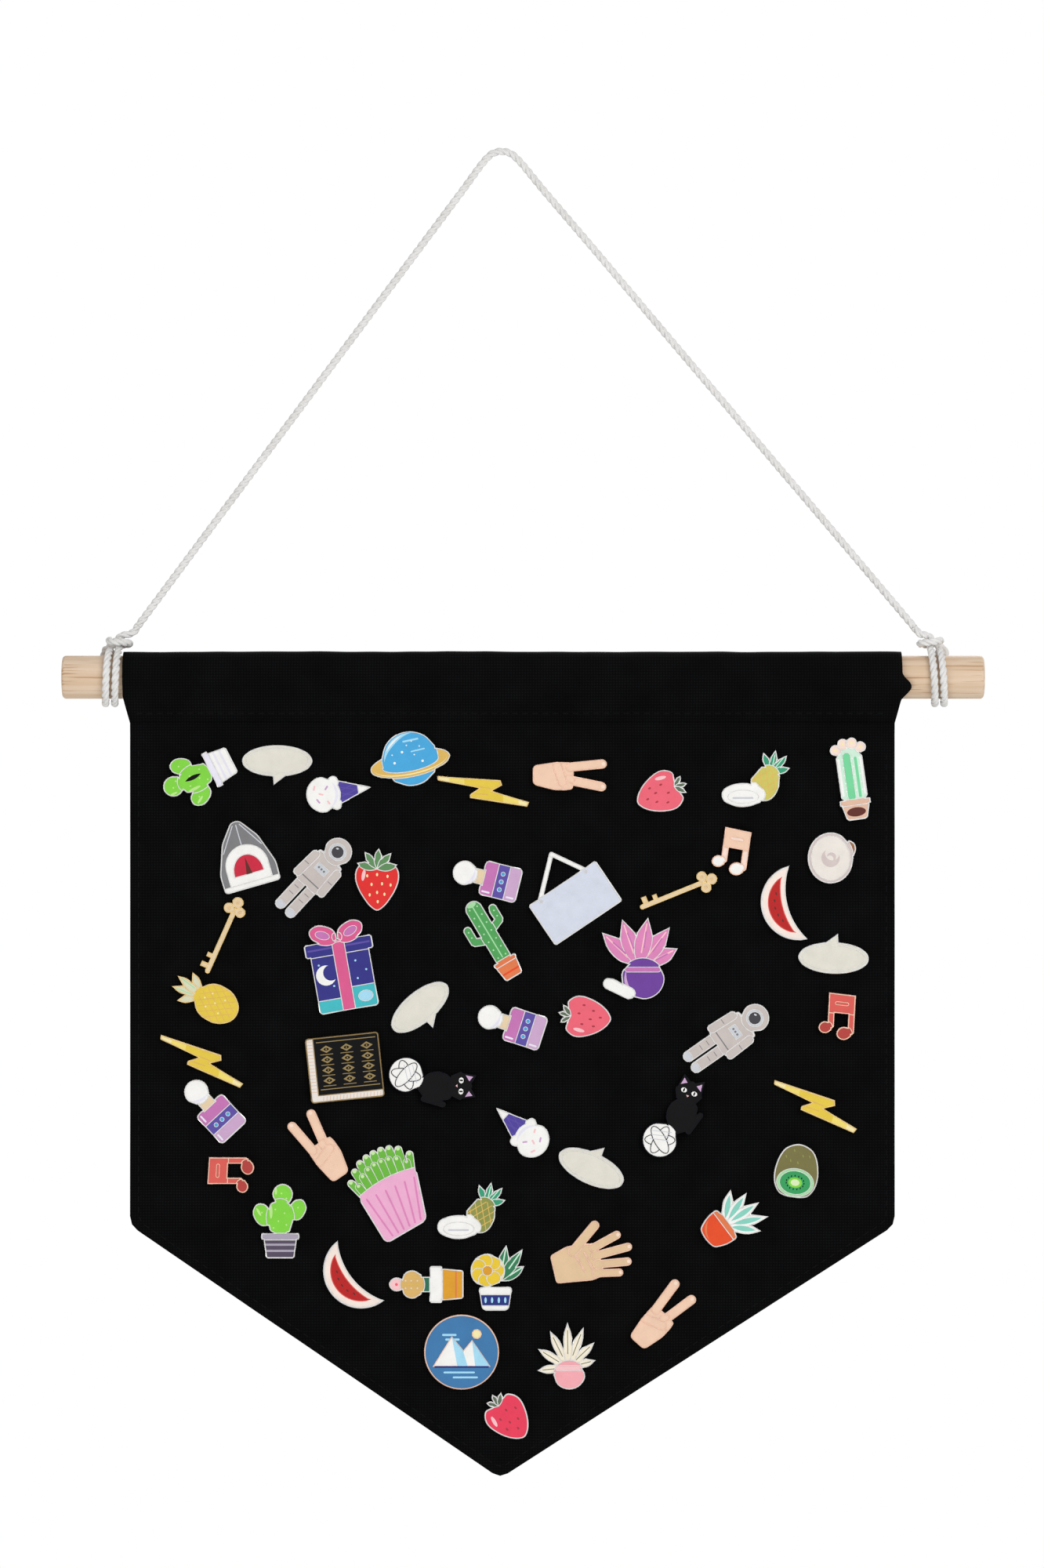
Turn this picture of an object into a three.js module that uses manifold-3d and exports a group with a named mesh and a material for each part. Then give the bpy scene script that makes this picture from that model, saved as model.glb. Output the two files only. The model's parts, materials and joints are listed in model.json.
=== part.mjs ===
// Pin badge board: a canvas pennant on a wooden dowel, hung by a cord, with enamel badges pinned through it.
// Millimetres, +Z up, badges facing -Y. The origin is the hook point, under the bend at the top of the cord.
import * as THREE from 'three';
import { mergeVertices } from 'three/addons/utils/BufferGeometryUtils.js';
import Module from 'manifold-3d';

const wasm = await Module();
wasm.setup();

// Driving dimensions
const CLEARANCE = 0.3; // between pieces that touch

const DOWEL_DROP = 170; // hook point down to the dowel's axis
const DOWEL_LENGTH = 300;
const DOWEL_DIAMETER = 14;
const DOWEL_END_ROUND = 1.2;
const DOWEL_SHIFT = 7; // the dowel's middle, right of the hook point
const DOWEL_SIDES = 28;

const CANVAS_THICKNESS = 0.8; // one layer
const POCKET_WIDTH = 253.2;
const POCKET_SLACK = 0.35; // between the dowel and the canvas round it
const POCKET_SEAM_DROP = 14.5; // dowel axis to the seam under the pocket
const POCKET_SEAM_DEPTH = 1.5; // layers sewn flat above the seam
const POCKET_SHOULDER_DROP = 6; // dowel axis to where the pocket's ends draw in
const POCKET_ARC_STEPS = 20;

const PANEL_WIDTH = 249;
const PANEL_SHIFT = 3.5; // the panel's middle, right of the hook point
const PANEL_SIDE = 163.9; // seam to the bottom corners
const PANEL_POINT = 82.4; // bottom corners to the tip
const PANEL_TIP_SHIFT = -4; // the tip, from the panel's middle
const PANEL_CORNER_ROUND = 3;

const CORD_DIAMETER = 2.5;
const CORD_SIDES = 8;
const CORD_STEPS = 60;
const HITCH_TURNS = 2;
const HITCH_SIDES = 6;
const HITCH_STEPS = 88;
const POINTS_PER_TURN = 24; // route points in one turn of a hitch
const SAME_TURN = 2.5; // diameters along the cord within which two places count as one turn
const HITCH_TURN_GAP = 0.5; // between neighbouring turns
const HITCH_ENTER = 40; // degrees from the dowel's top to where the turns start, in front
const HITCH_LEAVE = 75; // degrees from the dowel's top to where they end, behind
const LEFT_KNOT_X = -124.5; // from the hook point, as the right one's
const RIGHT_KNOT_X = 139.6;
const KNOT_RISE = 2; // top of the dowel's turns to the turn round the standing cord
const KNOT_GAP = 0.8; // between that turn and the standing cord
const KNOT_TURN = 275; // degrees
const KNOT_CLIMB = 1.8; // in a full turn
const TAIL_LENGTH = 1.2;

const BADGE_THICKNESS = 1.8;
const POST_DIAMETER = 1.2;
const POST_PLAY = 0.4; // round the post, in the canvas
const POST_ROOT = 0.6; // how far the post is let into the badge
const CLUTCH_FLANGE_DIAMETER = 10;
const CLUTCH_FLANGE_THICKNESS = 0.8;
const CLUTCH_BODY_DIAMETER = 6;
const CLUTCH_HEIGHT = 5;
const CLUTCH_SIDES = 6;
const HOLE_SIDES = 6;

// The cord's free stretch from the left knot over the hook to the right knot, as [x, z]
const CORD_ROUTE = [
  [-118.4, -153.2],
  [-95.8, -122.8],
  [-73.1, -92.4],
  [-50.5, -62.1],
  [-27.8, -31.7],
  [-13.1, -12],
  [-5.1, -1.3],
  [-3, 0.5],
  [-0.2, 1.25],
  [2.6, 0.7],
  [4.9, -1],
  [13.9, -11.7],
  [30.8, -31.5],
  [56.7, -62.1],
  [82.6, -92.6],
  [108.5, -123.1],
  [134.3, -153.6],
].map(([x, z]) => new THREE.Vector3(x, 0, z));

// Heights and depths that follow from the sizes above
const seamZ = -DOWEL_DROP - POCKET_SEAM_DROP;
const pocketInner = DOWEL_DIAMETER / 2 + POCKET_SLACK;
const pocketOuter = pocketInner + CANVAS_THICKNESS;
const clothHalf = CANVAS_THICKNESS + CLEARANCE / 2; // both layers of canvas, from the middle out
const badgeBack = -clothHalf - CLEARANCE;
const clutchFront = clothHalf + CLEARANCE;

const MERGE_TOLERANCE = 1e-4;

const point = (x, y) => new THREE.Vector2(x, y);
const radians = THREE.MathUtils.degToRad;

// Closed solids from geometries, for joining and cutting, and back again
function solidOf(geometry) {
  geometry.deleteAttribute('normal');
  geometry.deleteAttribute('uv');
  const merged = mergeVertices(geometry, MERGE_TOLERANCE);
  const corners = merged.index.array;
  const kept = [];
  for (let i = 0; i < corners.length; i += 3) {
    const [a, b, c] = corners.slice(i, i + 3);
    if (a !== b && b !== c && c !== a) kept.push(a, b, c);
  }
  return new wasm.Manifold(new wasm.Mesh({
    numProp: 3,
    vertProperties: merged.attributes.position.array,
    triVerts: new Uint32Array(kept),
  }));
}

function geometryOf(solid) {
  const { vertProperties, triVerts } = solid.getMesh();
  const geometry = new THREE.BufferGeometry();
  geometry.setAttribute('position', new THREE.BufferAttribute(vertProperties, 3));
  geometry.setIndex(new THREE.BufferAttribute(triVerts, 1));
  geometry.computeVertexNormals();
  return geometry;
}

function joined(geometries) {
  return geometries.map(solidOf).reduce((whole, part) => whole.add(part));
}

function named(name, geometry, colour, roughness, metalness) {
  const mesh = new THREE.Mesh(geometry, new THREE.MeshStandardMaterial({ color: colour, roughness, metalness }));
  mesh.name = name;
  return mesh;
}

// Flat outlines, as lists of points
function arc(x, y, radius, from, to, steps) {
  return Array.from({ length: steps + 1 }, (_, i) => {
    const angle = radians(from + ((to - from) * i) / steps);
    return point(x + radius * Math.cos(angle), y + radius * Math.sin(angle));
  });
}

function oval(x, y, width, height = width, turn = 0) {
  const steps = THREE.MathUtils.clamp(Math.round(1.3 * Math.max(width, height)), 8, 18);
  const centre = point(x, y);
  return Array.from({ length: steps }, (_, i) => {
    const angle = (2 * Math.PI * i) / steps;
    return point(x + width * Math.cos(angle), y + height * Math.sin(angle)).rotateAround(centre, radians(turn));
  });
}

function bar(x1, y1, x2, y2, radius) {
  const heading = THREE.MathUtils.radToDeg(Math.atan2(y2 - y1, x2 - x1));
  return [
    ...arc(x1, y1, radius, heading + 90, heading + 270, 3),
    ...arc(x2, y2, radius, heading - 90, heading + 90, 3),
  ];
}

function leaf(x1, y1, x2, y2, width) {
  const root = point(x1, y1);
  const tip = point(x2, y2);
  const middle = root.clone().lerp(tip, 0.5);
  const across = point(y1 - y2, x2 - x1).setLength(width);
  const out = new THREE.QuadraticBezierCurve(root, middle.clone().add(across), tip);
  const back = new THREE.QuadraticBezierCurve(tip, middle.clone().sub(across), root);
  return [...out.getPoints(3).slice(0, -1), ...back.getPoints(3).slice(0, -1)];
}

// Rounds the first corners of an outline, or all of them
function rounded(corners, radius, count = corners.length) {
  return corners.flatMap(([x, y], i) => {
    const corner = point(x, y);
    if (i >= count) return [corner];
    const before = point(...corners.at(i - 1));
    const after = point(...corners[(i + 1) % corners.length]);
    const start = corner.clone().add(before.sub(corner).setLength(radius));
    const end = corner.clone().add(after.sub(corner).setLength(radius));
    return new THREE.QuadraticBezierCurve(start, corner, end).getPoints(2);
  });
}

function box(x1, y1, x2, y2, radius) {
  return rounded([[x1, y1], [x2, y1], [x2, y2], [x1, y2]], radius);
}

function smooth(corners) {
  const curve = new THREE.CatmullRomCurve3(corners.map(([x, y]) => new THREE.Vector3(x, y, 0)), true);
  return curve.getPoints(2 * corners.length).slice(0, -1).map(({ x, y }) => point(x, y));
}

// Badge designs, drawn upright round their post at (0, 0), each a set of outlines that are joined
const fan = (x, y, width, tips) => tips.map(([tipX, tipY]) => leaf(x, y, tipX, tipY, width));
const square = (corners) => corners.map(([x, y]) => point(x, y));

const DESIGNS = {
  lime_cactus: {
    colour: '#7fc93b',
    outlines: [
      rounded([[-4.6, -11.5], [4.6, -11.5], [5.6, -4.5], [-5.6, -4.5]], 0.8),
      box(-6.2, -5.5, 6.2, -3.3, 0.6),
      oval(0, 1.8, 4.6, 6.2),
      oval(-5.6, 2.6, 3.1, 4.1, 30),
      oval(5.4, 4.2, 2.9, 3.9, -30),
      oval(0.8, 9.2, 3.4, 3.6),
    ],
  },
  speech_bubble: {
    colour: '#e9e7d6',
    outlines: [oval(0, 0.8, 11.5, 5.2), square([[-1.5, -3.5], [3.2, -3.8], [-1.2, -7.2]])],
  },
  ice_cream: {
    colour: '#e6e6f2',
    outlines: [
      oval(0, 4.6, 5.9, 5.6),
      ...[-3.8, 0, 3.8].map((x) => oval(x, 0.8, 1.9)),
      rounded([[-4.6, 0.8], [4.6, 0.8], [0, -11.4]], 0.5),
    ],
  },
  planet: {
    colour: '#45a5d8',
    outlines: [oval(0.2, -0.5, 9.3, 9), oval(0.3, -1.9, 13.3, 4.5, 11.8)],
  },
  lightning: {
    colour: '#e6c53a',
    outlines: [
      square([
        [-14.8, 5], [5.8, 3], [6.3, 1.2], [3, -0.5], [14.9, -4.5],
        [14.1, -6.1], [-4.4, -2.6], [-4.2, -1.2], [-1.4, 0.5], [-14.4, 3.4],
      ]),
    ],
  },
  peace_hand: {
    colour: '#e6b89c',
    outlines: [
      rounded([[-3.4, -10.4], [3, -10.4], [4.9, -3], [4.6, 3], [-4.4, 3], [-4.5, -3]], 1.6),
      bar(-2.8, 2, -3.8, 12.2, 1.6),
      bar(1.6, 2, 3.6, 12, 1.6),
    ],
  },
  pink_berry: {
    colour: '#e2586b',
    outlines: [
      smooth([
        [0, -8.6], [3.6, -6.2], [6.3, -1], [6.7, 3], [4.4, 6],
        [0, 5], [-4.4, 6], [-6.7, 3], [-6.3, -1], [-3.6, -6.2],
      ]),
      ...fan(0, 4.6, 1.9, [[-2.6, 8], [0.8, 9], [3.6, 7.6]]),
    ],
  },
  pineapple_plate: {
    colour: '#d9c16a',
    outlines: [
      oval(-4.4, -4.8, 7.2, 4),
      oval(2.6, -1.2, 4.8, 6.4, -25),
      ...fan(4.6, 2.2, 2.6, [[2, 9.2], [6.2, 10], [10, 8.2], [11, 4]]),
    ],
  },
  tall_cactus: {
    colour: '#7fd1a5',
    outlines: [
      bar(0, -5, 0, 7.2, 4.4),
      rounded([[-3.3, -13], [3.3, -13], [4.8, -7.5], [-4.8, -7.5]], 1),
      box(-5.1, -8.2, 5.1, -6.2, 0.5),
      ...[[-4, 10.3], [-1.4, 12], [1.5, 12], [4.1, 10.4]].map(([x, y]) => oval(x, y, 1.9)),
    ],
  },
  tent: {
    colour: '#7d7f86',
    outlines: [
      rounded([
        [-9.4, -11.5], [9.4, -11.5], [9.5, -5.2], [6.1, 4.6], [1.4, 10.8], [-1.4, 10.8], [-6.1, 4.6], [-9.5, -5.2],
      ], 1.3),
    ],
  },
  astronaut: {
    colour: '#b9b2b0',
    outlines: [
      oval(0, 11, 4.7, 4.6),
      box(-5.2, -4.4, 5.2, 8, 1.6),
      ...[-1, 1].flatMap((side) => [
        bar(4.9 * side, 5.4, 5.3 * side, -2.6, 1.5),
        bar(2.2 * side, -3, 2.2 * side, -13.9, 1.95),
      ]),
    ],
  },
  strawberry: {
    colour: '#d8232f',
    outlines: [
      smooth([[0, -10], [4.4, -6], [7.2, 0.6], [5.8, 5.2], [0, 5.8], [-5.8, 5.2], [-7.2, 0.6], [-4.4, -6]]),
      ...fan(0, 3.6, 2.8, [[-6.8, 5.6], [-4.2, 9.4], [0.6, 10.6], [4.8, 9], [6.8, 5]]),
    ],
  },
  scent_bottle: {
    colour: '#6b4fa0',
    outlines: [box(-5.8, -10.6, 5.8, 2, 1.6), box(-2.6, 1, 2.6, 4.6, 0.5), oval(0, 7.6, 4.1)],
  },
  hanging_sign: {
    colour: '#dfe4f2',
    outlines: [
      box(-13.2, -11.5, 13.2, 4.3, 0.9),
      bar(-9, 3.6, 2.4, 14, 0.85),
      bar(8.6, 3.6, 2.4, 14, 0.85),
    ],
  },
  key: {
    colour: '#d7a77c',
    outlines: [
      bar(-12.6, 0, 9, 0, 0.9),
      square([[-12, 0], [-10.2, 0], [-10.2, 3], [-12, 3]]),
      square([[-8.4, 0], [-6.8, 0], [-6.8, 2.4], [-8.4, 2.4]]),
      oval(9, 1.9, 1.8),
      oval(9, -1.9, 1.8),
      oval(11.6, 0, 1.9),
    ],
  },
  music_note: {
    colour: '#c8473c',
    outlines: [
      square([[-4.6, -4.4], [4.2, -4.8], [4.2, 1.6], [-4.6, 2.2]]),
      bar(-3.5, 0, -3.5, -8.6, 1.1),
      bar(3.1, 0, 3.1, -10.4, 1.1),
      oval(-5.2, -9.2, 2.3, 2, 15),
      oval(1, -10.9, 2.6, 2.2, 15),
    ],
  },
  cup_from_above: {
    colour: '#d9c9c2',
    outlines: [oval(-0.5, 0.2, 7.5, 8.4), oval(5.6, 3, 2.2, 3)],
  },
  melon_slice: {
    colour: '#c9353a',
    outlines: [[...arc(7.4, 0, 12.4, 90, 270, 12), ...arc(26.1, 0, 22.4, 213.6, 146.4, 8).slice(1, -1)]],
  },
  pineapple: {
    colour: '#e3c23c',
    outlines: [
      oval(0, -3.6, 6.2, 7.8),
      ...fan(0, 1.8, 3, [[-5.4, 8.2], [-2, 12], [2, 12], [5.4, 8.2]]),
    ],
  },
  saguaro: {
    colour: '#4f9e53',
    outlines: [
      bar(0, -7, 0, 11.6, 2.9),
      rounded([[-3.1, -14], [3.1, -14], [4.2, -7.2], [-4.2, -7.2]], 0.8),
      bar(-1, 0.4, -5.4, 2.2, 1.5),
      bar(-5.4, 2.2, -5.4, 6.6, 1.5),
      bar(1, 2.8, 5.4, 4.6, 1.5),
      bar(5.4, 4.6, 5.4, 8.8, 1.5),
    ],
  },
  leafy_pot: {
    colour: '#c777b0',
    outlines: [
      oval(1.4, -6.6, 7.2, 6.8),
      bar(-9.6, -8.2, -3, -11.4, 2),
      ...fan(0, -3, 6, [[-12, 8.6], [-5.4, 13], [3.2, 13.6], [10.4, 10.4], [13, 3.4]]),
    ],
  },
  gift_box: {
    colour: '#2b3a8f',
    outlines: [
      box(-9.8, -15, 9.8, 6.8, 1.4),
      box(-11.2, 3.6, 11.2, 8.2, 1),
      oval(-4.4, 10.4, 4.8, 3.2, -24),
      oval(4.4, 10.4, 4.8, 3.2, 24),
    ],
  },
  book: {
    colour: '#20201f',
    outlines: [box(-12, -10.6, 12, 10.6, 1.2)],
  },
  cat_and_yarn: {
    colour: '#1c1b22',
    outlines: [
      oval(1.6, 9, 4.7, 4.1),
      square([[-2.6, 10], [-2, 14.4], [1.6, 12.4]]),
      square([[5.8, 10], [5.2, 14.4], [1.6, 12.4]]),
      oval(2.2, 1.6, 5, 6.6),
      bar(6.2, -2.6, 7.8, 3.6, 1.1),
      oval(-1.4, -8.6, 5.9),
    ],
  },
  fries: {
    colour: '#dd8fb6',
    outlines: [
      rounded([[-7.4, -14.6], [8, -13.2], [12, 4], [-9.4, 3]], 2),
      ...[8, 10.8, 12.6, 13.4, 13.7, 13.6, 13, 11.6, 8.6]
        .map((top, i) => bar(2.2 * i - 7.6, 3, 2.65 * i - 9.4, top, 1.4)),
    ],
  },
  kiwi: {
    colour: '#8a7a3c',
    outlines: [
      smooth([
        [0, 8.7], [4.6, 6.8], [6.9, 1.4], [6.9, -4.2], [4.6, -8],
        [0, -8.8], [-4.6, -8], [-6.9, -4.2], [-6.9, 1.4], [-4.6, 6.8],
      ]),
    ],
  },
  spiky_pot: {
    colour: '#6fc2ac',
    outlines: [
      rounded([[-4.2, -11.4], [4.2, -11.4], [6.4, -2.2], [-6.4, -2.2]], 2.8),
      ...fan(0, -4, 3.8, [[-8.2, 5], [-4.2, 8.6], [0.8, 10], [6.4, 9.6], [8.8, 4.8]]),
    ],
  },
  small_cactus: {
    colour: '#e0a43a',
    outlines: [
      rounded([[-4.6, -11.6], [4.6, -11.6], [5.3, -4.4], [-5.3, -4.4]], 0.8),
      box(-6, -4.8, 6, -0.6, 0.8),
      box(-2.6, -1.6, 2.6, 2.4, 0.4),
      oval(0, 5, 4.7, 4),
      oval(0, 9.9, 2.3, 2.8),
    ],
  },
  flower_pot: {
    colour: '#e7cd3e',
    outlines: [
      rounded([[-4.4, -11], [4.4, -11], [5.6, -3.2], [-5.6, -3.2]], 1.6),
      oval(-2.6, 2, 5.6, 5.6),
      ...fan(1.4, -1.6, 3.8, [[3.6, 10.6], [9, 9.2], [9.6, 3.6]]),
    ],
  },
  open_hand: {
    colour: '#e3b596',
    outlines: [
      rounded([[-4.6, -12.6], [4.8, -12.6], [6.4, -1], [5.8, 3.4], [-5.4, 3.4], [-6.4, -6.6]], 1.2),
      bar(-4, 2, -6.3, 10.1, 1.45),
      bar(-1.3, 2, -1.7, 12.8, 1.45),
      bar(1.6, 2, 2.9, 11.6, 1.45),
      bar(4.4, 1, 5.8, 8.2, 1.35),
      bar(-4.2, -5, -10.9, 3.8, 1.6),
    ],
  },
  mountain_disc: {
    colour: '#3f8fc4',
    outlines: [oval(0, 0, 12.2)],
  },
  cream_plant: {
    colour: '#efe0c8',
    outlines: [
      oval(1, -6.4, 5.2, 4.8),
      ...fan(0.6, -4, 3.2, [[-9.6, -5], [-9.4, 2.2], [-5.4, 8.2], [0.4, 11], [5.8, 9.4], [9.4, 4.4], [9.8, -1.6]]),
    ],
  },
};

// Where each badge is pinned: right of the panel's middle, down from the seam, and its turn in degrees
const PINS = [
  ['lime_cactus', -101.5, 17.5, 117],
  ['speech_bubble', -76.5, 13.5, 0],
  ['ice_cream', -57, 23, 99],
  ['planet', -33.5, 11.5, 0],
  ['lightning', -9.5, 22.1, 2],
  ['peace_hand', 17, 17.5, -90],
  ['pink_berry', 48.5, 23, -66],
  ['pineapple_plate', 79.5, 19, 0],
  ['tall_cactus', 110.5, 19, 8],
  ['tent', -87.4, 42.7, 16],
  ['astronaut', -64.2, 50.3, -43],
  ['strawberry', -44, 51.5, 0],
  ['scent_bottle', -8, 51, 76],
  ['hanging_sign', 18.5, 56, 34],
  ['key', 54, 55.5, 22],
  ['music_note', 73.5, 36.9, -8],
  ['cup_from_above', 104, 44.5, 0],
  ['melon_slice', 86, 60.5, 14],
  ['speech_bubble', 104.5, 76, 178],
  ['key', -94, 69.5, 66],
  ['pineapple', -99.5, 90, 61],
  ['saguaro', -6.5, 71, 31],
  ['leafy_pot', 41, 77, 0],
  ['gift_box', -55.5, 79, 10],
  ['speech_bubble', -29.5, 93.5, 40],
  ['scent_bottle', 0, 98.5, 72],
  ['pink_berry', 23.6, 96, 85],
  ['astronaut', 70, 102.6, -55],
  ['music_note', 107.5, 90.4, -3],
  ['lightning', -101, 110, -13],
  ['book', -54.5, 112.5, 6],
  ['cat_and_yarn', -26, 116.5, -92],
  ['scent_bottle', -97.5, 126, 43],
  ['peace_hand', -61.5, 139.5, 35],
  ['ice_cream', 3, 133, -132],
  ['speech_bubble', 26, 144.5, 155],
  ['cat_and_yarn', 52.5, 128.5, -22],
  ['lightning', 98.6, 124.7, -13],
  ['music_note', -97.1, 145.8, 90],
  ['fries', -40.5, 153.5, 25],
  ['lime_cactus', -75.5, 163, 0],
  ['pineapple_plate', -13, 159.5, 0],
  ['kiwi', 92.5, 146, -8],
  ['spiky_pot', 72, 161.5, -53],
  ['melon_slice', -55, 183, 38],
  ['small_cactus', -27.5, 183, 90],
  ['flower_pot', -5.5, 180.5, 0],
  ['open_hand', 25.5, 175.3, -77],
  ['peace_hand', 47.5, 194.5, -42],
  ['mountain_disc', -16.5, 205, 0],
  ['cream_plant', 17.5, 206, 0],
  ['pink_berry', -1.5, 226, 40],
];

const pinX = (offset) => PANEL_SHIFT + offset;
const pinZ = (drop) => seamZ - drop;

function dowel() {
  const half = DOWEL_LENGTH / 2;
  const radius = DOWEL_DIAMETER / 2;
  const profile = [
    point(0, -half),
    ...arc(radius - DOWEL_END_ROUND, -half + DOWEL_END_ROUND, DOWEL_END_ROUND, -90, 0, 2),
    ...arc(radius - DOWEL_END_ROUND, half - DOWEL_END_ROUND, DOWEL_END_ROUND, 0, 90, 2),
    point(0, half),
  ];
  const geometry = geometryOf(solidOf(new THREE.LatheGeometry(profile, DOWEL_SIDES).rotateZ(-Math.PI / 2)));
  const mesh = named('dowel', geometry, '#dcbf9f', 0.6, 0);
  mesh.position.set(DOWEL_SHIFT, 0, -DOWEL_DROP);
  return mesh;
}

// A loop that hugs the dowel above and closes on a sewn edge below, seen along the dowel
function teardrop(radius, foot, footHalf) {
  const reach = Math.hypot(foot, footHalf);
  const lean = Math.atan2(-foot, footHalf) + Math.acos(radius / reach);
  const start = THREE.MathUtils.radToDeg(lean);
  const over = arc(0, 0, radius, start, 180 - start, POCKET_ARC_STEPS);
  return footHalf > 0 ? [point(footHalf, -foot), ...over, point(-footHalf, -foot)] : [point(0, -foot), ...over];
}

function rodPocket() {
  const loop = new THREE.Shape(teardrop(pocketOuter, POCKET_SEAM_DROP, clothHalf));
  loop.holes.push(new THREE.Path(teardrop(pocketInner, POCKET_SEAM_DROP - POCKET_SEAM_DEPTH, 0)));
  const sleeve = new THREE.ExtrudeGeometry(loop, { depth: POCKET_WIDTH, bevelEnabled: false });
  sleeve.translate(0, 0, -POCKET_WIDTH / 2).rotateX(Math.PI / 2).rotateZ(Math.PI / 2);
  const wide = POCKET_WIDTH / 2;
  const narrow = PANEL_WIDTH / 2;
  const front = square([
    [-narrow, -POCKET_SEAM_DROP],
    [narrow, -POCKET_SEAM_DROP],
    [wide, -POCKET_SHOULDER_DROP],
    [wide, pocketOuter],
    [-wide, pocketOuter],
    [-wide, -POCKET_SHOULDER_DROP],
  ]);
  const depth = 2 * pocketOuter;
  const outline = plate(front, depth).translate(0, 0, -depth / 2).rotateX(Math.PI / 2);
  const geometry = geometryOf(solidOf(sleeve).intersect(solidOf(outline)));
  const mesh = named('rod_pocket', geometry, '#101113', 0.95, 0);
  mesh.position.set(PANEL_SHIFT, 0, -DOWEL_DROP);
  return mesh;
}

function plate(outline, depth) {
  return new THREE.ExtrudeGeometry(new THREE.Shape(outline), { depth, bevelEnabled: false });
}

// One layer of the pennant, with a hole for every post
function panel(name, front) {
  const half = PANEL_WIDTH / 2;
  const outline = new THREE.Shape(rounded([
    [-half, -PANEL_SIDE],
    [PANEL_TIP_SHIFT, -PANEL_SIDE - PANEL_POINT],
    [half, -PANEL_SIDE],
    [half, -CLEARANCE],
    [-half, -CLEARANCE],
  ], PANEL_CORNER_ROUND, 3));
  for (const [, offset, drop] of PINS) {
    const hole = arc(offset, -drop, POST_DIAMETER / 2 + POST_PLAY, 0, 360, HOLE_SIDES).slice(0, -1);
    outline.holes.push(new THREE.Path(hole));
  }
  const geometry = new THREE.ExtrudeGeometry(outline, { depth: CANVAS_THICKNESS, bevelEnabled: false });
  const mesh = named(name, geometry.rotateX(Math.PI / 2), '#0e0f11', 0.95, 0);
  mesh.position.set(PANEL_SHIFT, front + CANVAS_THICKNESS, seamZ);
  return mesh;
}

// Cord tubes along a curve
function tube(points, radius, sides, steps) {
  const path = new THREE.CatmullRomCurve3(points, false, 'centripetal');
  path.arcLengthDivisions = 20 * steps;
  const section = new THREE.Shape(arc(0, 0, radius, 0, 360, sides).slice(0, -1));
  return new THREE.ExtrudeGeometry(section, { steps, extrudePath: path, bevelEnabled: false });
}

function hangingCord() {
  return named('hanging_cord', tube(CORD_ROUTE, CORD_DIAMETER / 2, CORD_SIDES, CORD_STEPS), '#dedcd8', 0.9, 0);
}

// The cord's end below its free stretch: down to the dowel, round it, then once round itself, and a short tail
function hitchRoute(end, next, knotX) {
  const outward = Math.sign(knotX);
  const up = next.clone().sub(end).normalize();
  const radius = (DOWEL_DIAMETER + CORD_DIAMETER) / 2 + CLEARANCE;
  const pitch = CORD_DIAMETER + HITCH_TURN_GAP;
  const topZ = radius - DOWEL_DROP;
  const standing = (height) => new THREE.Vector3(knotX, 0, topZ + height);

  const lead = [CLEARANCE, CLEARANCE + CORD_DIAMETER].map((run) => end.clone().addScaledVector(up, -run));
  const down = [standing(KNOT_RISE + CORD_DIAMETER), standing(KNOT_RISE)];

  const leave = 360 * HITCH_TURNS - HITCH_LEAVE;
  const turnSteps = POINTS_PER_TURN * HITCH_TURNS;
  const turns = Array.from({ length: turnSteps + 1 }, (_, i) => {
    const turned = HITCH_ENTER + ((leave - HITCH_ENTER) * i) / turnSteps;
    const angle = radians(turned);
    const x = knotX + (outward * pitch * turned) / 360;
    return new THREE.Vector3(x, -radius * Math.sin(angle), radius * Math.cos(angle) - DOWEL_DROP);
  });

  const knotRadius = CORD_DIAMETER + KNOT_GAP;
  const knot = Array.from({ length: POINTS_PER_TURN + 1 }, (_, i) => {
    const turned = (KNOT_TURN * i) / POINTS_PER_TURN;
    const angle = radians(turned);
    const inward = -outward * knotRadius * Math.sin(angle);
    const back = knotRadius * Math.cos(angle);
    return standing(KNOT_RISE + (KNOT_CLIMB * turned) / 360).add(new THREE.Vector3(inward, back, 0));
  });

  const rise = turns.at(-1).clone().setZ(topZ);
  const over = turns.at(-1).clone().lerp(knot[0], 0.5).setZ(topZ + KNOT_RISE);
  const heading = knot.at(-1).clone().sub(knot.at(-2)).normalize();
  const tail = [0.5, 1].map((share) => knot.at(-1).clone().addScaledVector(heading, share * TAIL_LENGTH));
  return [...lead, ...down, ...turns, rise, over, ...knot, ...tail];
}

// The least free space between a tube's turns, measured on points along its middle
function leastGap(points, diameter) {
  const middle = new THREE.CatmullRomCurve3(points, false, 'centripetal').getSpacedPoints(4 * HITCH_STEPS);
  const step = middle[0].distanceTo(middle[1]);
  const apart = Math.ceil((SAME_TURN * diameter) / step);
  let least = Infinity;
  for (let i = 0; i < middle.length; i += 1) {
    for (let j = i + apart; j < middle.length; j += 1) least = Math.min(least, middle[i].distanceTo(middle[j]));
  }
  return least - diameter;
}

function hitch(name, end, next, knotX) {
  const route = hitchRoute(end, next, knotX);
  console.log(`${name}: least gap to itself ${leastGap(route, CORD_DIAMETER).toFixed(2)} mm`);
  return named(name, tube(route, CORD_DIAMETER / 2, HITCH_SIDES, HITCH_STEPS), '#dedcd8', 0.9, 0);
}

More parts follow.
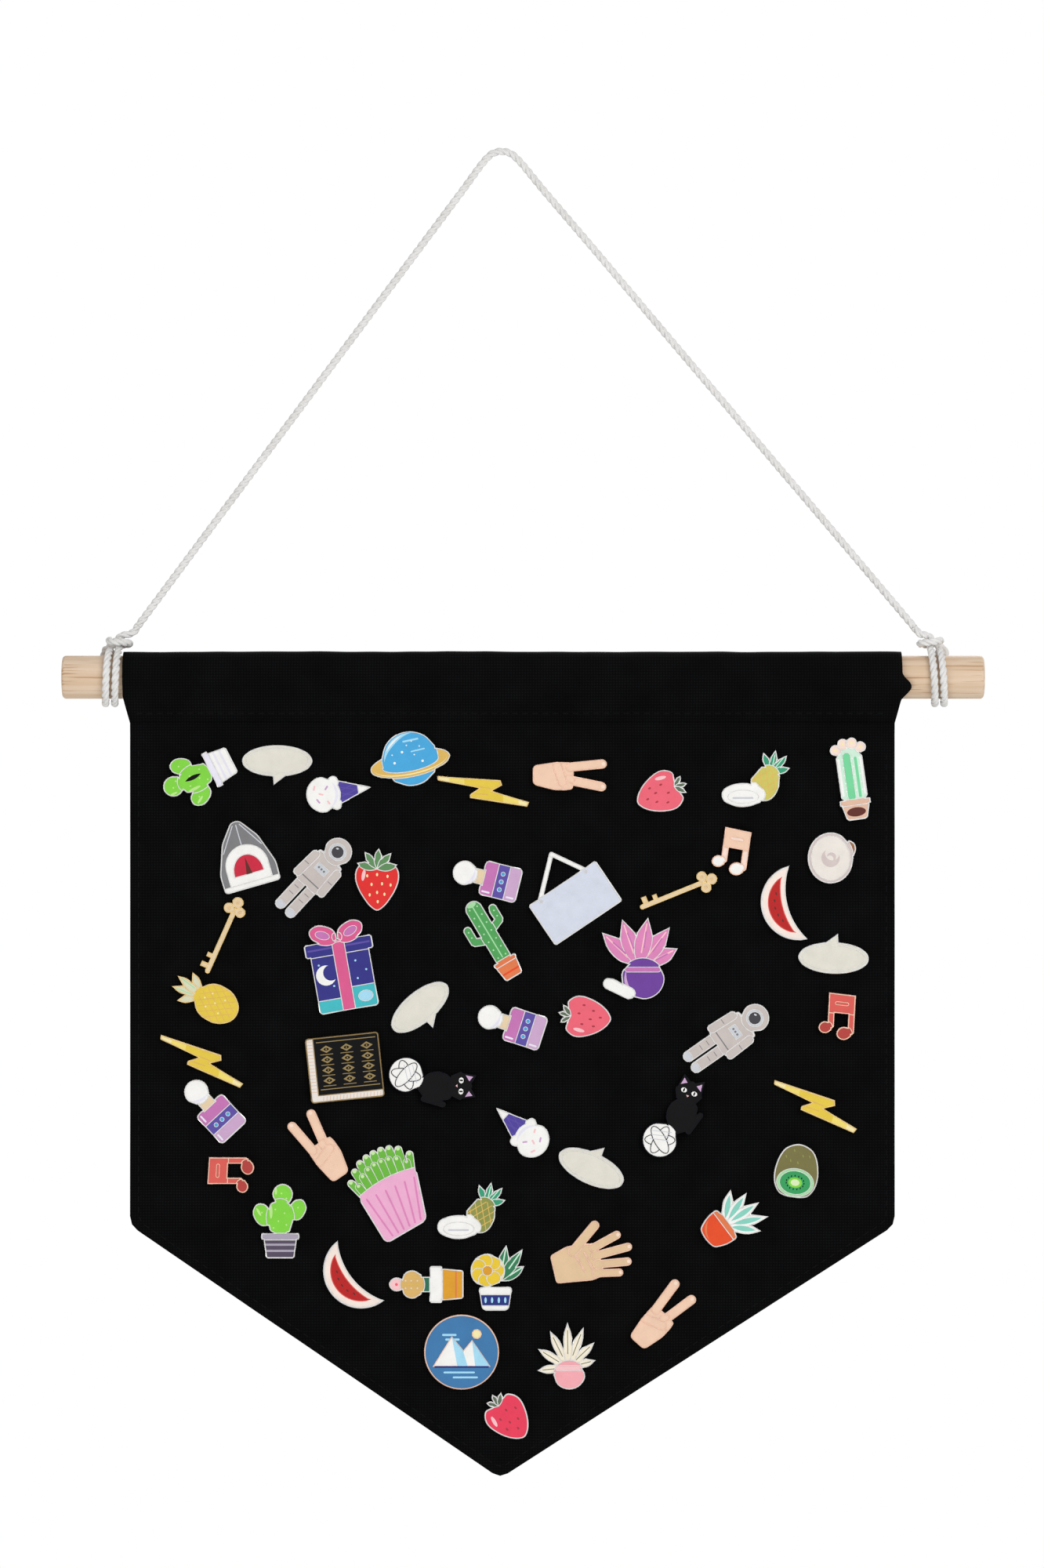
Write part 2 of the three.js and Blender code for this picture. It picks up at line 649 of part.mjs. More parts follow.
// The post soldered to a badge's back, with the clutch pushed onto it behind the canvas
function postAndClutch() {
  const post = POST_DIAMETER / 2;
  const flange = CLUTCH_FLANGE_DIAMETER / 2;
  const body = CLUTCH_BODY_DIAMETER / 2;
  const step = clutchFront + CLUTCH_FLANGE_THICKNESS;
  const profile = square([
    [0, badgeBack - POST_ROOT],
    [post, badgeBack - POST_ROOT],
    [post, clutchFront],
    [flange, clutchFront],
    [flange, step],
    [body, step],
    [body, clutchFront + CLUTCH_HEIGHT],
    [0, clutchFront + CLUTCH_HEIGHT],
  ]);
  return solidOf(new THREE.LatheGeometry(profile, CLUTCH_SIDES));
}

function badge(outlines) {
  const front = outlines.map((outline) => plate(outline, BADGE_THICKNESS));
  return joined(front.map((geometry) => geometry.rotateX(Math.PI / 2).translate(0, badgeBack, 0)));
}

function pins() {
  const fastening = postAndClutch();
  const solids = Object.fromEntries(
    Object.entries(DESIGNS).map(([design, { outlines }]) => [design, badge(outlines).add(fastening)]),
  );
  const copies = {};
  return PINS.map(([design, offset, drop, turn]) => {
    copies[design] = (copies[design] ?? 0) + 1;
    const repeated = PINS.filter(([other]) => other === design).length > 1;
    const name = repeated ? `${design}_pin_${copies[design]}` : `${design}_pin`;
    const mesh = named(name, geometryOf(solids[design]), DESIGNS[design].colour, 0.35, 0.4);
    mesh.position.set(pinX(offset), 0, pinZ(drop));
    mesh.rotation.y = -radians(turn);
    return mesh;
  });
}

const board = new THREE.Group();
board.add(
  dowel(),
  rodPocket(),
  panel('front_panel', -clothHalf),
  panel('back_panel', CLEARANCE / 2),
  hangingCord(),
  hitch('left_hitch', CORD_ROUTE[0], CORD_ROUTE[1], LEFT_KNOT_X),
  hitch('right_hitch', CORD_ROUTE.at(-1), CORD_ROUTE.at(-2), RIGHT_KNOT_X),
  ...pins(),
);

export default board;
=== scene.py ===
import json
import math

import bpy
import numpy as np
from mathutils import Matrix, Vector, noise
from mathutils.geometry import delaunay_2d_cdt


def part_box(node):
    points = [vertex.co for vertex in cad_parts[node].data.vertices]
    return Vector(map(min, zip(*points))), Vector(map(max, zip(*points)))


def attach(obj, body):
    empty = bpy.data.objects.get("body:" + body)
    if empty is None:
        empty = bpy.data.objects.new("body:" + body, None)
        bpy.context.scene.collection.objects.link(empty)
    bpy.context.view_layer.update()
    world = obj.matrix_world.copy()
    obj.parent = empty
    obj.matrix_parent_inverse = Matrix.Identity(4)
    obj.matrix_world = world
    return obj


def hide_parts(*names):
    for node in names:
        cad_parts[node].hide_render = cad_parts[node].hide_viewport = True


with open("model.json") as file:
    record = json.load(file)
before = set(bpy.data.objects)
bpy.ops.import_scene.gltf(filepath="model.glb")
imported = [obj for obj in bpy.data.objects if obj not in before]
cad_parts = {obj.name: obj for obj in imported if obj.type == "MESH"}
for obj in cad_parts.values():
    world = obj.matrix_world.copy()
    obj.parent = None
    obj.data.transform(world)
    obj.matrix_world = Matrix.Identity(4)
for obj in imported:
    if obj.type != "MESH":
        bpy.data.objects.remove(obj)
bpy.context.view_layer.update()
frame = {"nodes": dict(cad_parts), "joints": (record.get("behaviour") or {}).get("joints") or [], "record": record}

MM = 0.001
SLOTS = {part["node"]: part["material_slot"] for part in frame["record"]["subparts"]}
POSTS = {  # (x, z) of each pin's post
    joint["child"]: np.array(joint["pos_m"])[[0, 2]]
    for joint in frame["joints"] if joint["child"] in SLOTS
}

# The photograph's framing
IMAGE_SIZE = (1332, 2000)
HOOK_PIXEL = (640, 198)
METRES_PER_PIXEL = 0.2553 * MM
CAMERA_DISTANCE = 2.0
SENSOR_HEIGHT = 36.0

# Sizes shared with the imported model
DOWEL_DROP = 0.170
DOWEL_RADIUS = 0.007
CLEARANCE = 0.0003
CORD_DIAMETER = 0.0025
CANVAS_THICKNESS = 0.0008
BADGE_THICKNESS = 0.0018
POST_RADIUS = 0.0006

# Rounding by which points count as one place, and the most that a flat face may be out of true
PLACE_DIGITS = 7
FLAT_TOLERANCE = 1e-6


def add_camera():
    width, height = IMAGE_SIZE
    data = bpy.data.cameras.new("camera")
    data.sensor_fit = "VERTICAL"
    data.sensor_height = SENSOR_HEIGHT
    data.lens = SENSOR_HEIGHT * CAMERA_DISTANCE / (height * METRES_PER_PIXEL)
    camera = add_object("camera", data)
    right = (width / 2 - HOOK_PIXEL[0]) * METRES_PER_PIXEL
    up = (HOOK_PIXEL[1] - height / 2) * METRES_PER_PIXEL
    camera.location = (right, -CAMERA_DISTANCE, up)
    camera.rotation_euler = (math.pi / 2, 0, 0)
    bpy.context.scene.camera = camera


# Objects and meshes
def add_object(name, data):
    item = bpy.data.objects.new(name, data)
    bpy.context.collection.objects.link(item)
    return item


def new_mesh(name, points, faces, materials, kinds=None, smooth=True):
    mesh = bpy.data.meshes.new(name)
    mesh.from_pydata([tuple(map(float, p)) for p in points], [], faces)
    for material in materials:
        mesh.materials.append(material)
    if kinds is not None:
        mesh.polygons.foreach_set("material_index", kinds)
    mesh.polygons.foreach_set("use_smooth", [smooth] * len(faces))
    mesh.update()
    return mesh


def add_mesh(name, *parts, **settings):
    return add_object(name, new_mesh(name, *parts, **settings))


def dress(piece, body, *nodes, slot=None):
    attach(piece, body)
    if nodes:
        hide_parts(*nodes)


def grid_faces(rows, columns, wrap_rows=False, start=0):
    """Faces between closed rings of points. With wrap_rows the last ring joins the first."""
    faces = []
    for i in range(rows if wrap_rows else rows - 1):
        for j in range(columns):
            here, there = i * columns, (i + 1) % rows * columns
            after = (j + 1) % columns
            faces.append([start + k for k in (here + j, here + after, there + after, there + j)])
    return faces


def tube_faces(rows, sides, start=0, caps_turned=False):
    """Faces between closed rings of points, and a cap on the first and the last ring."""
    first = [start + k for k in range(sides)]
    last = [(rows - 1) * sides + k for k in first]
    caps = [first, last[::-1]] if caps_turned else [first[::-1], last]
    return grid_faces(rows, sides, start=start) + caps


def circle(count):
    """Evenly spaced angles of one whole turn."""
    return np.linspace(0, 2 * math.pi, count, endpoint=False)


def unit(vectors):
    return vectors / np.linalg.norm(vectors, axis=-1, keepdims=True)


# Materials
BAND_SCALE = math.pi / 10  # of a wave texture with one band in each metre
WEAVE_PITCH = 0.0009
PLY_PITCH = 0.0003
ENAMEL_GLOSS = 0.2
BLACK_GLOSS = 0.06


def linear(colour, gain=1.0):
    """A hex colour as linear light, darker or lighter by a gain."""
    parts = [int(colour[i:i + 2], 16) / 255 for i in (1, 3, 5)]
    light = [((c + 0.055) / 1.055) ** 2.4 if c > 0.04045 else c / 12.92 for c in parts]
    return *[min(1.0, c * gain) for c in light], 1.0


def new_material(name, **sockets):
    material = bpy.data.materials.new(name)
    material.use_nodes = True
    surface = material.node_tree.nodes["Principled BSDF"]
    for socket, value in sockets.items():
        surface.inputs[socket.replace("_", " ")].default_value = value
    return material, material.node_tree, surface


def add_node(tree, kind, inputs=None, **settings):
    node = tree.nodes.new(kind)
    for name, value in settings.items():
        setattr(node, name, value)
    for name, value in (inputs or {}).items():
        if isinstance(value, bpy.types.NodeSocket):
            tree.links.new(value, node.inputs[name])
        else:
            node.inputs[name].default_value = value
    return node


def place(tree, stretch=(1, 1, 1)):
    coordinates = add_node(tree, "ShaderNodeTexCoord").outputs["Object"]
    return add_node(tree, "ShaderNodeMapping", {"Vector": coordinates, "Scale": stretch}).outputs["Vector"]


def speckle(tree, vector, scale, detail=3.0):
    inputs = {"Vector": vector, "Scale": scale, "Detail": detail}
    return add_node(tree, "ShaderNodeTexNoise", inputs).outputs["Fac"]


def threads(tree, vector, direction, pitch):
    inputs = {"Vector": vector, "Scale": BAND_SCALE / pitch, "Distortion": 0.6, "Detail": 1.0}
    return add_node(tree, "ShaderNodeTexWave", inputs, bands_direction=direction).outputs["Fac"]


def combine(tree, operation, a, b):
    return add_node(tree, "ShaderNodeMath", {0: a, 1: b}, operation=operation).outputs["Value"]


def blend(tree, a, b, share):
    """A share of the first pattern, and the rest of the second."""
    weighed = [combine(tree, "MULTIPLY", part, weight) for part, weight in ((a, share), (b, 1 - share))]
    return combine(tree, "ADD", *weighed)


def ramp(tree, pattern, *stops):
    """Colours along a pattern. A stop is a position, a colour and perhaps its gain."""
    node = add_node(tree, "ShaderNodeValToRGB", {"Fac": pattern})
    points = node.color_ramp.elements
    while len(points) < len(stops):
        points.new(0.5)
    for point, (position, *colour) in zip(points, stops):
        point.position = position
        point.color = linear(*colour)
    return node.outputs["Color"]


def spread(tree, pattern, low, high):
    inputs = {"Value": pattern, "To Min": low, "To Max": high}
    return add_node(tree, "ShaderNodeMapRange", inputs).outputs["Result"]


def finish_surface(tree, surface, colour, pattern, low, high):
    """Gives a surface its colour, and a roughness that follows a pattern."""
    tree.links.new(colour, surface.inputs["Base Color"])
    tree.links.new(spread(tree, pattern, low, high), surface.inputs["Roughness"])


def bump(tree, surface, height, strength, depth):
    inputs = {"Height": height, "Strength": strength, "Distance": depth}
    tree.links.new(add_node(tree, "ShaderNodeBump", inputs).outputs["Normal"], surface.inputs["Normal"])


def canvas_material():
    material, tree, surface = new_material("black_canvas", Specular_IOR_Level=0.03)
    where = place(tree)
    weave = combine(tree, "MULTIPLY", *[threads(tree, where, way, WEAVE_PITCH) for way in "XZ"])
    fade = speckle(tree, where, 90.0, 6.0)
    tone = blend(tree, fade, weave, 0.6)
    colour = ramp(tree, tone, (0.2, "#060607"), (0.45, "#0a0a0b"), (0.75, "#131415"))
    finish_surface(tree, surface, colour, fade, 0.85, 1.0)
    bump(tree, surface, weave, 0.5, 0.00015)
    return material


def thread_material():
    material, tree, surface = new_material("sewing_thread", Specular_IOR_Level=0.05)
    ply = threads(tree, place(tree, (1, 1, 0.4)), "X", PLY_PITCH)
    finish_surface(tree, surface, ramp(tree, ply, (0.0, "#070708"), (1.0, "#121214")), ply, 0.55, 0.75)
    return material


def beech_material(name, stretch):
    material, tree, surface = new_material(name, Specular_IOR_Level=0.3, Coat_Weight=0.05, Coat_Roughness=0.4)
    grain = speckle(tree, place(tree, stretch), 420.0, 5.0)
    flecks = speckle(tree, place(tree, tuple(3.0 * s for s in stretch)), 420.0, 2.0)
    cloud = speckle(tree, place(tree), 30.0, 2.0)
    tone = blend(tree, grain, cloud, 0.7)
    wood = ramp(tree, tone, (0.30, "#caa98b"), (0.47, "#d9bea1"), (0.60, "#e2cab1"), (0.75, "#d0b193"))
    pores = ramp(tree, flecks, (0.33, "#dcc8b4"), (0.40, "#ffffff"))
    both = add_node(tree, "ShaderNodeVectorMath", {0: wood, 1: pores}, operation="MULTIPLY")
    finish_surface(tree, surface, both.outputs["Vector"], grain, 0.45, 0.65)
    bump(tree, surface, flecks, 0.2, 0.0001)
    return material


def cotton_material():
    material, tree, surface = new_material("cotton", Sheen_Weight=0.25, Specular_IOR_Level=0.2)
    where = place(tree)
    fibres = speckle(tree, where, 4200.0, 4.0)
    tone = blend(tree, fibres, speckle(tree, where, 120.0), 0.6)
    colour = ramp(tree, tone, (0.3, "#d6d4d1"), (0.5, "#e6e5e3"), (0.7, "#f3f2f1"))
    finish_surface(tree, surface, colour, fibres, 0.8, 1.0)
    bump(tree, surface, fibres, 0.3, 0.0002)
    return material


def metal_material(name, colour, rough):
    material, tree, surface = new_material(name, Metallic=1.0)
    wear = speckle(tree, place(tree), 900.0)
    worn = ramp(tree, wear, (0.3, colour, 0.88), (0.7, colour, 1.06))
    finish_surface(tree, surface, worn, wear, 0.7 * rough, 1.3 * rough)
    bump(tree, surface, wear, 0.08, 0.00005)
    return material


def enamel_material(name, colour):
    gloss = BLACK_GLOSS if name == "black" else ENAMEL_GLOSS
    material, tree, surface = new_material(
        "enamel_" + name, Coat_Weight=gloss, Coat_Roughness=0.12, Specular_IOR_Level=gloss)
    where = place(tree)
    cloud = speckle(tree, where, 260.0)
    tone = blend(tree, cloud, speckle(tree, where, 2600.0, 2.0), 0.65)
    tint = ramp(tree, tone, (0.32, colour, 0.94), (0.5, colour), (0.7, colour, 1.05))
    finish_surface(tree, surface, tint, cloud, 0.3, 0.45)
    bump(tree, surface, cloud, 0.06, 0.0002)
    return material


METALS = {  # colour and roughness
    "silver": ("#dcdbd9", 0.22),
    "gold": ("#e6c98f", 0.24),
    "rose": ("#e9c2ab", 0.24),
    "nickel": ("#1b1b1f", 0.35),
    "brass": ("#d8b878", 0.26),
    "bronze": ("#8a7550", 0.35),
}

ENAMELS = {
    "lime": "#7fd23f", "pale_lime": "#b9e78a", "violet_grey": "#50465a", "lilac_grey": "#a8a0b0",
    "cream": "#dfdccf", "white": "#f3f2ef", "lilac_white": "#e7e4f1", "violet": "#4a3c98",
    "sky": "#45a6db", "pale_sky": "#a4daf2", "amber": "#dcb45c", "yellow": "#e2c542",
    "pale_yellow": "#f3e7ac", "peach": "#efcab0", "pale_peach": "#f6dcc8", "tan": "#dfc09a",
    "pink": "#ea6274", "deep_pink": "#e83a58", "dark_pink": "#a8323f", "pale_pink": "#f6c3c6",
    "moss": "#5b6b55", "straw": "#cbc35f", "olive": "#8a9048", "teal": "#2f9a72", "mint": "#74d49a",
    "pale_mint": "#cdebd6", "shell": "#f5dccf", "clay": "#e0b8a0", "maroon": "#5a2018",
    "grey": "#7a7a7c", "pale_grey": "#c9ccd2", "crimson": "#c8203c", "suit": "#c6bcb7",
    "charcoal": "#3a3a40", "red": "#df2a27", "sepal": "#5c8a58", "magenta": "#c372b2",
    "indigo": "#5a4aa0", "lilac": "#c9a4ca", "ice": "#d2d7e5", "coral": "#d85a52", "brick": "#b03c36",
    "blush": "#d2c4c0", "brown": "#9a6844", "melon": "#b61414", "rind": "#f4e4da", "sage": "#d6d6b8",
    "saguaro": "#4c9e54", "pale_green": "#a5d9a4", "terracotta": "#e07848", "orchid": "#db83b7",
    "purple": "#6a3a98", "navy": "#2c2a80", "rose_pink": "#d8588c", "aqua": "#40b8c0",
    "black": "#0c0c0e", "page": "#e9e2da", "green_stick": "#68b53a", "stick_tip": "#c6e7a6",
    "cup_pink": "#ebacce", "kiwi_skin": "#746e3e", "kiwi": "#2f9a58", "kiwi_heart": "#d9ecba",
    "orange_red": "#e34a1c", "aloe": "#86cfbe", "sand": "#d8b068", "deep_teal": "#1c6a50",
    "orange": "#dc9c26", "bloom": "#e8c632", "deep_blue": "#1c2a78", "leaf_green": "#2c7a50",
    "lake": "#3a76aa", "ivory": "#f5ead4", "soft_pink": "#f4a8b0", "champagne": "#e4cda9",
    "bronze": "#927d4e", "lemon": "#eed96e",
}


# Cord: the free stretch, and the hitch at each of its ends
CORD_ROUTE = [(x, 0, z) for x, z in (
    (-0.1184, -0.1532), (-0.0958, -0.1228), (-0.0731, -0.0924), (-0.0505, -0.0621), (-0.0278, -0.0317),
    (-0.0131, -0.0120), (-0.0051, -0.0013), (-0.0030, 0.0005), (-0.0002, 0.00125), (0.0026, 0.0007),
    (0.0049, -0.0010), (0.0139, -0.0117), (0.0308, -0.0315), (0.0567, -0.0621), (0.0826, -0.0926),
    (0.1085, -0.1231), (0.1343, -0.1536),
)]
HITCH_TURNS = 2
HITCH_TURN_GAP = 0.0005
HITCH_ENTER = 40  # degrees past the dowel's top
HITCH_LEAVE = 75  # degrees before it
LEFT_KNOT_X = -0.1245
RIGHT_KNOT_X = 0.1396
KNOT_RISE = 0.0020
KNOT_GAP = 0.0008
KNOT_TURN = 275  # degrees
KNOT_CLIMB = 0.0018  # in a whole turn
TAIL_LENGTH = 0.0012
POINTS_PER_TURN = 24
POINTS_PER_SPAN = 16

STRANDS = 3
STRAND_POINTS = 7
STRAND_RADIUS = 0.52  # of the cord's radius
TWIST_PITCH = 0.0075
CORD_SPACING = 0.0004


def hermite(start, stop, leave, arrive, t):
    """Points on a smooth curve between two points, with its directions at both."""
    way = stop - start
    return start + leave * t + (3 * way - 2 * leave - arrive) * t**2 + (leave + arrive - 2 * way) * t**3


def distances(line):
    return np.concatenate([[0], np.cumsum(np.linalg.norm(np.diff(line, axis=0), axis=1))])


def point_at(line, run, distance):
    return np.stack([np.interp(distance, run, line[:, k]) for k in range(3)], -1)


def smooth_path(corners, spacing):
    """Evenly spaced points on a centripetal curve through the corners, and its length."""
    corners = np.array(corners, float)
    ends = np.vstack([2 * corners[0] - corners[1], corners, 2 * corners[-1] - corners[-2]])
    gaps = np.sqrt(np.linalg.norm(np.diff(ends, axis=0), axis=1))
    t = np.linspace(0, 1, POINTS_PER_SPAN, endpoint=False)[:, None]
    line = []
    for i in range(1, len(ends) - 2):
        a, b, c, d = ends[i - 1:i + 3]
        before, here, after = gaps[i - 1:i + 2]
        leave = here * ((b - a) / before - (c - a) / (before + here) + (c - b) / here)
        arrive = here * ((c - b) / here - (d - b) / (here + after) + (d - c) / after)
        line.append(hermite(b, c, leave, arrive, t))
    line = np.vstack(line + [corners[-1:]])
    run = distances(line)
    even = np.linspace(0, run[-1], max(2, round(run[-1] / spacing)))
    return point_at(line, run, even), run[-1]


def cord_section():
    """A twisted cord's outline: angle and radius of each point, one bulge for each strand."""
    out = 1 - STRAND_RADIUS
    turn = np.linspace(-math.pi, math.pi, STRAND_POINTS, endpoint=False) / STRANDS
    reach = out * np.cos(turn) + np.sqrt(STRAND_RADIUS**2 - (out * np.sin(turn)) ** 2)
    angles = np.concatenate([turn + 2 * math.pi * k / STRANDS for k in range(STRANDS)])
    return angles, np.tile(reach, STRANDS) * CORD_DIAMETER / 2


def twisted_cord(name, path, length, material):
    along = unit(np.gradient(path, axis=0))
    across = np.empty_like(path)
    guide = np.array([0.0, 1.0, 0.0])
    for i, heading in enumerate(along):
        guide = guide - heading * guide.dot(heading)
        guide = guide / np.linalg.norm(guide)
        across[i] = guide
    third = np.cross(along, across)
    angles, reach = cord_section()
    twist = 2 * math.pi * np.linspace(0, length, len(path)) / TWIST_PITCH
    spin = (angles[None, :] + twist[:, None])[..., None]
    outward = np.cos(spin) * across[:, None] + np.sin(spin) * third[:, None]
    rings = path[:, None] + reach[None, :, None] * outward
    points = list(rings.reshape(-1, 3)) + [path[0], path[-1]]
    first, last = len(points) - 2, len(points) - 1
    count = len(angles)
    final = (len(path) - 1) * count
    faces = grid_faces(len(path), count)
    for j in range(count):
        after = (j + 1) % count
        faces.append([first, after, j])
        faces.append([last, final + j, final + after])
    return add_mesh(name, points, faces, [material])


def hitch_route(end, following, knot_x):
    """Down to the dowel, round it, then once round the standing cord, and a short tail."""
    end, following = np.array(end), np.array(following)
    outward = math.copysign(1, knot_x)
    up = unit(following - end)
    radius = DOWEL_RADIUS + CORD_DIAMETER / 2 + CLEARANCE
    pitch = CORD_DIAMETER + HITCH_TURN_GAP
    top = radius - DOWEL_DROP

    def standing(height):
        return np.array([knot_x, 0, top + height])

    lead = [end, end - up * (CLEARANCE + CORD_DIAMETER)]
    down = [standing(KNOT_RISE + CORD_DIAMETER), standing(KNOT_RISE)]

    turns = []
    leave = 360 * HITCH_TURNS - HITCH_LEAVE
    for degrees in np.linspace(HITCH_ENTER, leave, POINTS_PER_TURN * HITCH_TURNS + 1):
        angle = math.radians(degrees)
        x = knot_x + outward * pitch * degrees / 360
        turns.append(np.array([x, -radius * math.sin(angle), radius * math.cos(angle) - DOWEL_DROP]))

    knot_radius = CORD_DIAMETER + KNOT_GAP
    knot = []
    for degrees in np.linspace(0, KNOT_TURN, POINTS_PER_TURN + 1):
        angle = math.radians(degrees)
        around = np.array([-outward * math.sin(angle), math.cos(angle), 0])
        knot.append(standing(KNOT_RISE + KNOT_CLIMB * degrees / 360) + knot_radius * around)

    rise = np.array([turns[-1][0], turns[-1][1], top])
    over = (turns[-1] + knot[0]) / 2
    over[2] = top + KNOT_RISE
    heading = unit(knot[-1] - knot[-2])
    tail = [knot[-1] + heading * share * TAIL_LENGTH for share in (0.5, 1)]
    return lead + down + turns + [rise, over] + knot + tail


def add_cord():
    material = cotton_material()
    for node, end, following, x in (("left_hitch", 0, 1, LEFT_KNOT_X), ("right_hitch", -1, -2, RIGHT_KNOT_X)):
        route = hitch_route(CORD_ROUTE[end], CORD_ROUTE[following], x)
        piece = twisted_cord(node + "_cord", *smooth_path(route, CORD_SPACING), material)
        dress(piece, "hanger", node)
    path, length = smooth_path(CORD_ROUTE, CORD_SPACING)
    piece = twisted_cord("hanging_cord_twisted", path, length, material)
    dress(piece, "hanger", "hanging_cord")


# Dowel
DOWEL_SIDES = 72
DOWEL_RINGS = 40
DOWEL_END_ROUND = 0.0012
DOWEL_END_RINGS = 6  # on the softened edge
DOWEL_HEART = 0.0006  # radius of an end face's innermost ring


def add_dowel():
    low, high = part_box("dowel")
    length = high[0] - low[0]
    near_end = [(DOWEL_HEART, 0.0), (DOWEL_RADIUS - 2 * DOWEL_END_ROUND, 0.0)]
    for angle in np.linspace(0, math.pi / 2, DOWEL_END_RINGS):
        reach = DOWEL_RADIUS - DOWEL_END_ROUND * (1 - math.sin(angle))
        near_end.append((reach, DOWEL_END_ROUND * (1 - math.cos(angle))))
    flanks = np.linspace(DOWEL_END_ROUND, length - DOWEL_END_ROUND, DOWEL_RINGS)[1:-1]
    far_end = [(radius, length - x) for radius, x in reversed(near_end)]
    profile = near_end + [(DOWEL_RADIUS, x) for x in flanks] + far_end
    points = [
        (low[0] + x, radius * math.sin(a), radius * math.cos(a) - DOWEL_DROP)
        for radius, x in profile for a in circle(DOWEL_SIDES)
    ]
    faces = tube_faces(len(profile), DOWEL_SIDES, caps_turned=True)
    kinds = [int(abs(points[f[0]][0] - points[f[2]][0]) < FLAT_TOLERANCE) for f in faces]
    sides = beech_material("beech", (0.03, 1, 1))
    ends = beech_material("beech_end_grain", (1, 1, 1))
    piece = add_mesh("dowel_turned", points, faces, [sides, ends], kinds)
    dress(piece, "hanger", "dowel")


# Canvas: the pocket round the dowel, and the two layers of the panel
POCKET_WIDE = 0.1266  # half widths
POCKET_NARROW = 0.1245
POCKET_SLACK = 0.00035
POCKET_FOOT = 0.0148  # below the dowel's axis
POCKET_SHOULDER = 0.0060
POCKET_STEPS = 150
RISE_STEPS = 10
LOOP_STEPS = 48
TONGUE_REACH = 0.0030  # a tongue of canvas that pokes out at the right end, in front
TONGUE_DROP = 0.0030  # its middle, below the dowel's axis
TONGUE_HALF = 0.0045
TONGUE_START = 0.93  # share of the pocket's half width where it begins
WRINKLE = 0.00022
WRINKLE_EASE = 0.004  # height above the pocket's foot where the wrinkles have their full size
HEM_SKIN = 0.12  # of half the thickness, taken off at the pocket's two ends
POCKET_ROW = 3  # the loop's point, from either foot, that carries the stitches
POCKET_ROW_SHARE = 0.985  # of the pocket's half width
POCKET_ROW_POINTS = 400

PANEL_SHIFT = 0.0035
SEAM_Z = -0.1848
SEAM_EASE = 0.02  # distance below the seam where the waves have their full size
WAVE_EASE = 0.012  # distance from a badge where they have it
CALM_WAVE = 0.0001
FREE_WAVE = 0.0011
CLOTH_STEP = 0.004
ROW_STEP = 0.87  # height of a row of points, in steps
EDGE_RINGS = (0.0002, 0.0006, 0.0012, 0.0022)  # insets of the rings of points along the edge
CLOTH_ROLL = 0.0005  # how far the faces turn in at the edges
ROLL_WIDTH = 0.0012
ROLL_EASE = 0.003  # distance below the seam where the roll has its full size
LAYER_GAP = CLEARANCE / 20
EDGE_MARGIN = 0.0028

# Scales of the noise along x, y and z, and a shift
BROAD_WRINKLE = (30, 140, 260)
FINE_WRINKLE = (110, 90, 330, 7)
FINE_WRINKLE_SHARE = 0.6
BROAD_WAVE = (18, 0.3, 14)
FINE_WAVE = (55, 4.0, 40)
FINE_WAVE_SHARE = 0.4

STITCH_LENGTH = 0.0024
STITCH_GAP = 0.0009
STITCH_RADIUS = 0.00022
STITCH_SIDES = 6
STITCH_ARCH = [  # shares of the length and the radius, and height in radii
    (0.0, 0.35, -1.0), (0.15, 1.0, -0.35), (0.5, 1.0, -0.1), (0.85, 1.0, -0.35), (1.0, 0.35, -1.0),
]

CUT_TOLERANCE = 1e-7
MITRE_LIMIT = 0.5  # least cosine by which a corner's reach is divided


def ripple(x, y, z, across, through, up, shift=0):
    return noise.noise((across * x, through * y, up * z + shift))


def pocket_loop():
    """The pocket's middle line, seen along the dowel: (y, z) and the outward direction, front to back."""
    radius = DOWEL_RADIUS + POCKET_SLACK + CANVAS_THICKNESS / 2
    foot = np.array([-CLEARANCE / 2 - CANVAS_THICKNESS / 2, -POCKET_FOOT])
    reach = np.linalg.norm(foot)
    start = math.atan2(foot[1], foot[0]) - math.acos(radius / reach)
    touch = radius * np.array([math.cos(start), math.sin(start)])
    rise = [foot + (touch - foot) * s for s in np.linspace(0, 1, RISE_STEPS, endpoint=False)]
    sweep = np.linspace(start, -math.pi - start - 2 * math.pi, LOOP_STEPS)
    over = [radius * np.array([math.cos(a), math.sin(a)]) for a in sweep]
    fall = [np.array([-y, z]) for y, z in reversed(rise)]
    line = np.array(rise + over + fall)
    along = unit(np.gradient(line, axis=0))
    outward = np.stack([-along[:, 1], along[:, 0]], 1)
    return line, outward


def pocket_point(share, j, line, outward, lift):
    y, z = line[j]
    draw = np.clip((z + POCKET_FOOT) / (POCKET_FOOT - POCKET_SHOULDER), 0, 1)
    half = POCKET_NARROW + (POCKET_WIDE - POCKET_NARROW) * draw
    x = PANEL_SHIFT + share * half
    if y < 0 and share > TONGUE_START:
        off = np.clip((z + TONGUE_DROP) / TONGUE_HALF, -1, 1)
        height = TONGUE_REACH * (0.5 + 0.5 * math.cos(math.pi * off))
        x += height * (share - TONGUE_START) / (1 - TONGUE_START)
    loose = np.clip((z + POCKET_FOOT) / WRINKLE_EASE, 0, 1)
    wrinkle = ripple(x, y, z, *BROAD_WRINKLE) + FINE_WRINKLE_SHARE * ripple(x, y, z, *FINE_WRINKLE)
    swell = loose * WRINKLE * (1 + wrinkle)
    return (x, y + outward[j][0] * (lift + swell), z + outward[j][1] * (lift + swell) - DOWEL_DROP)


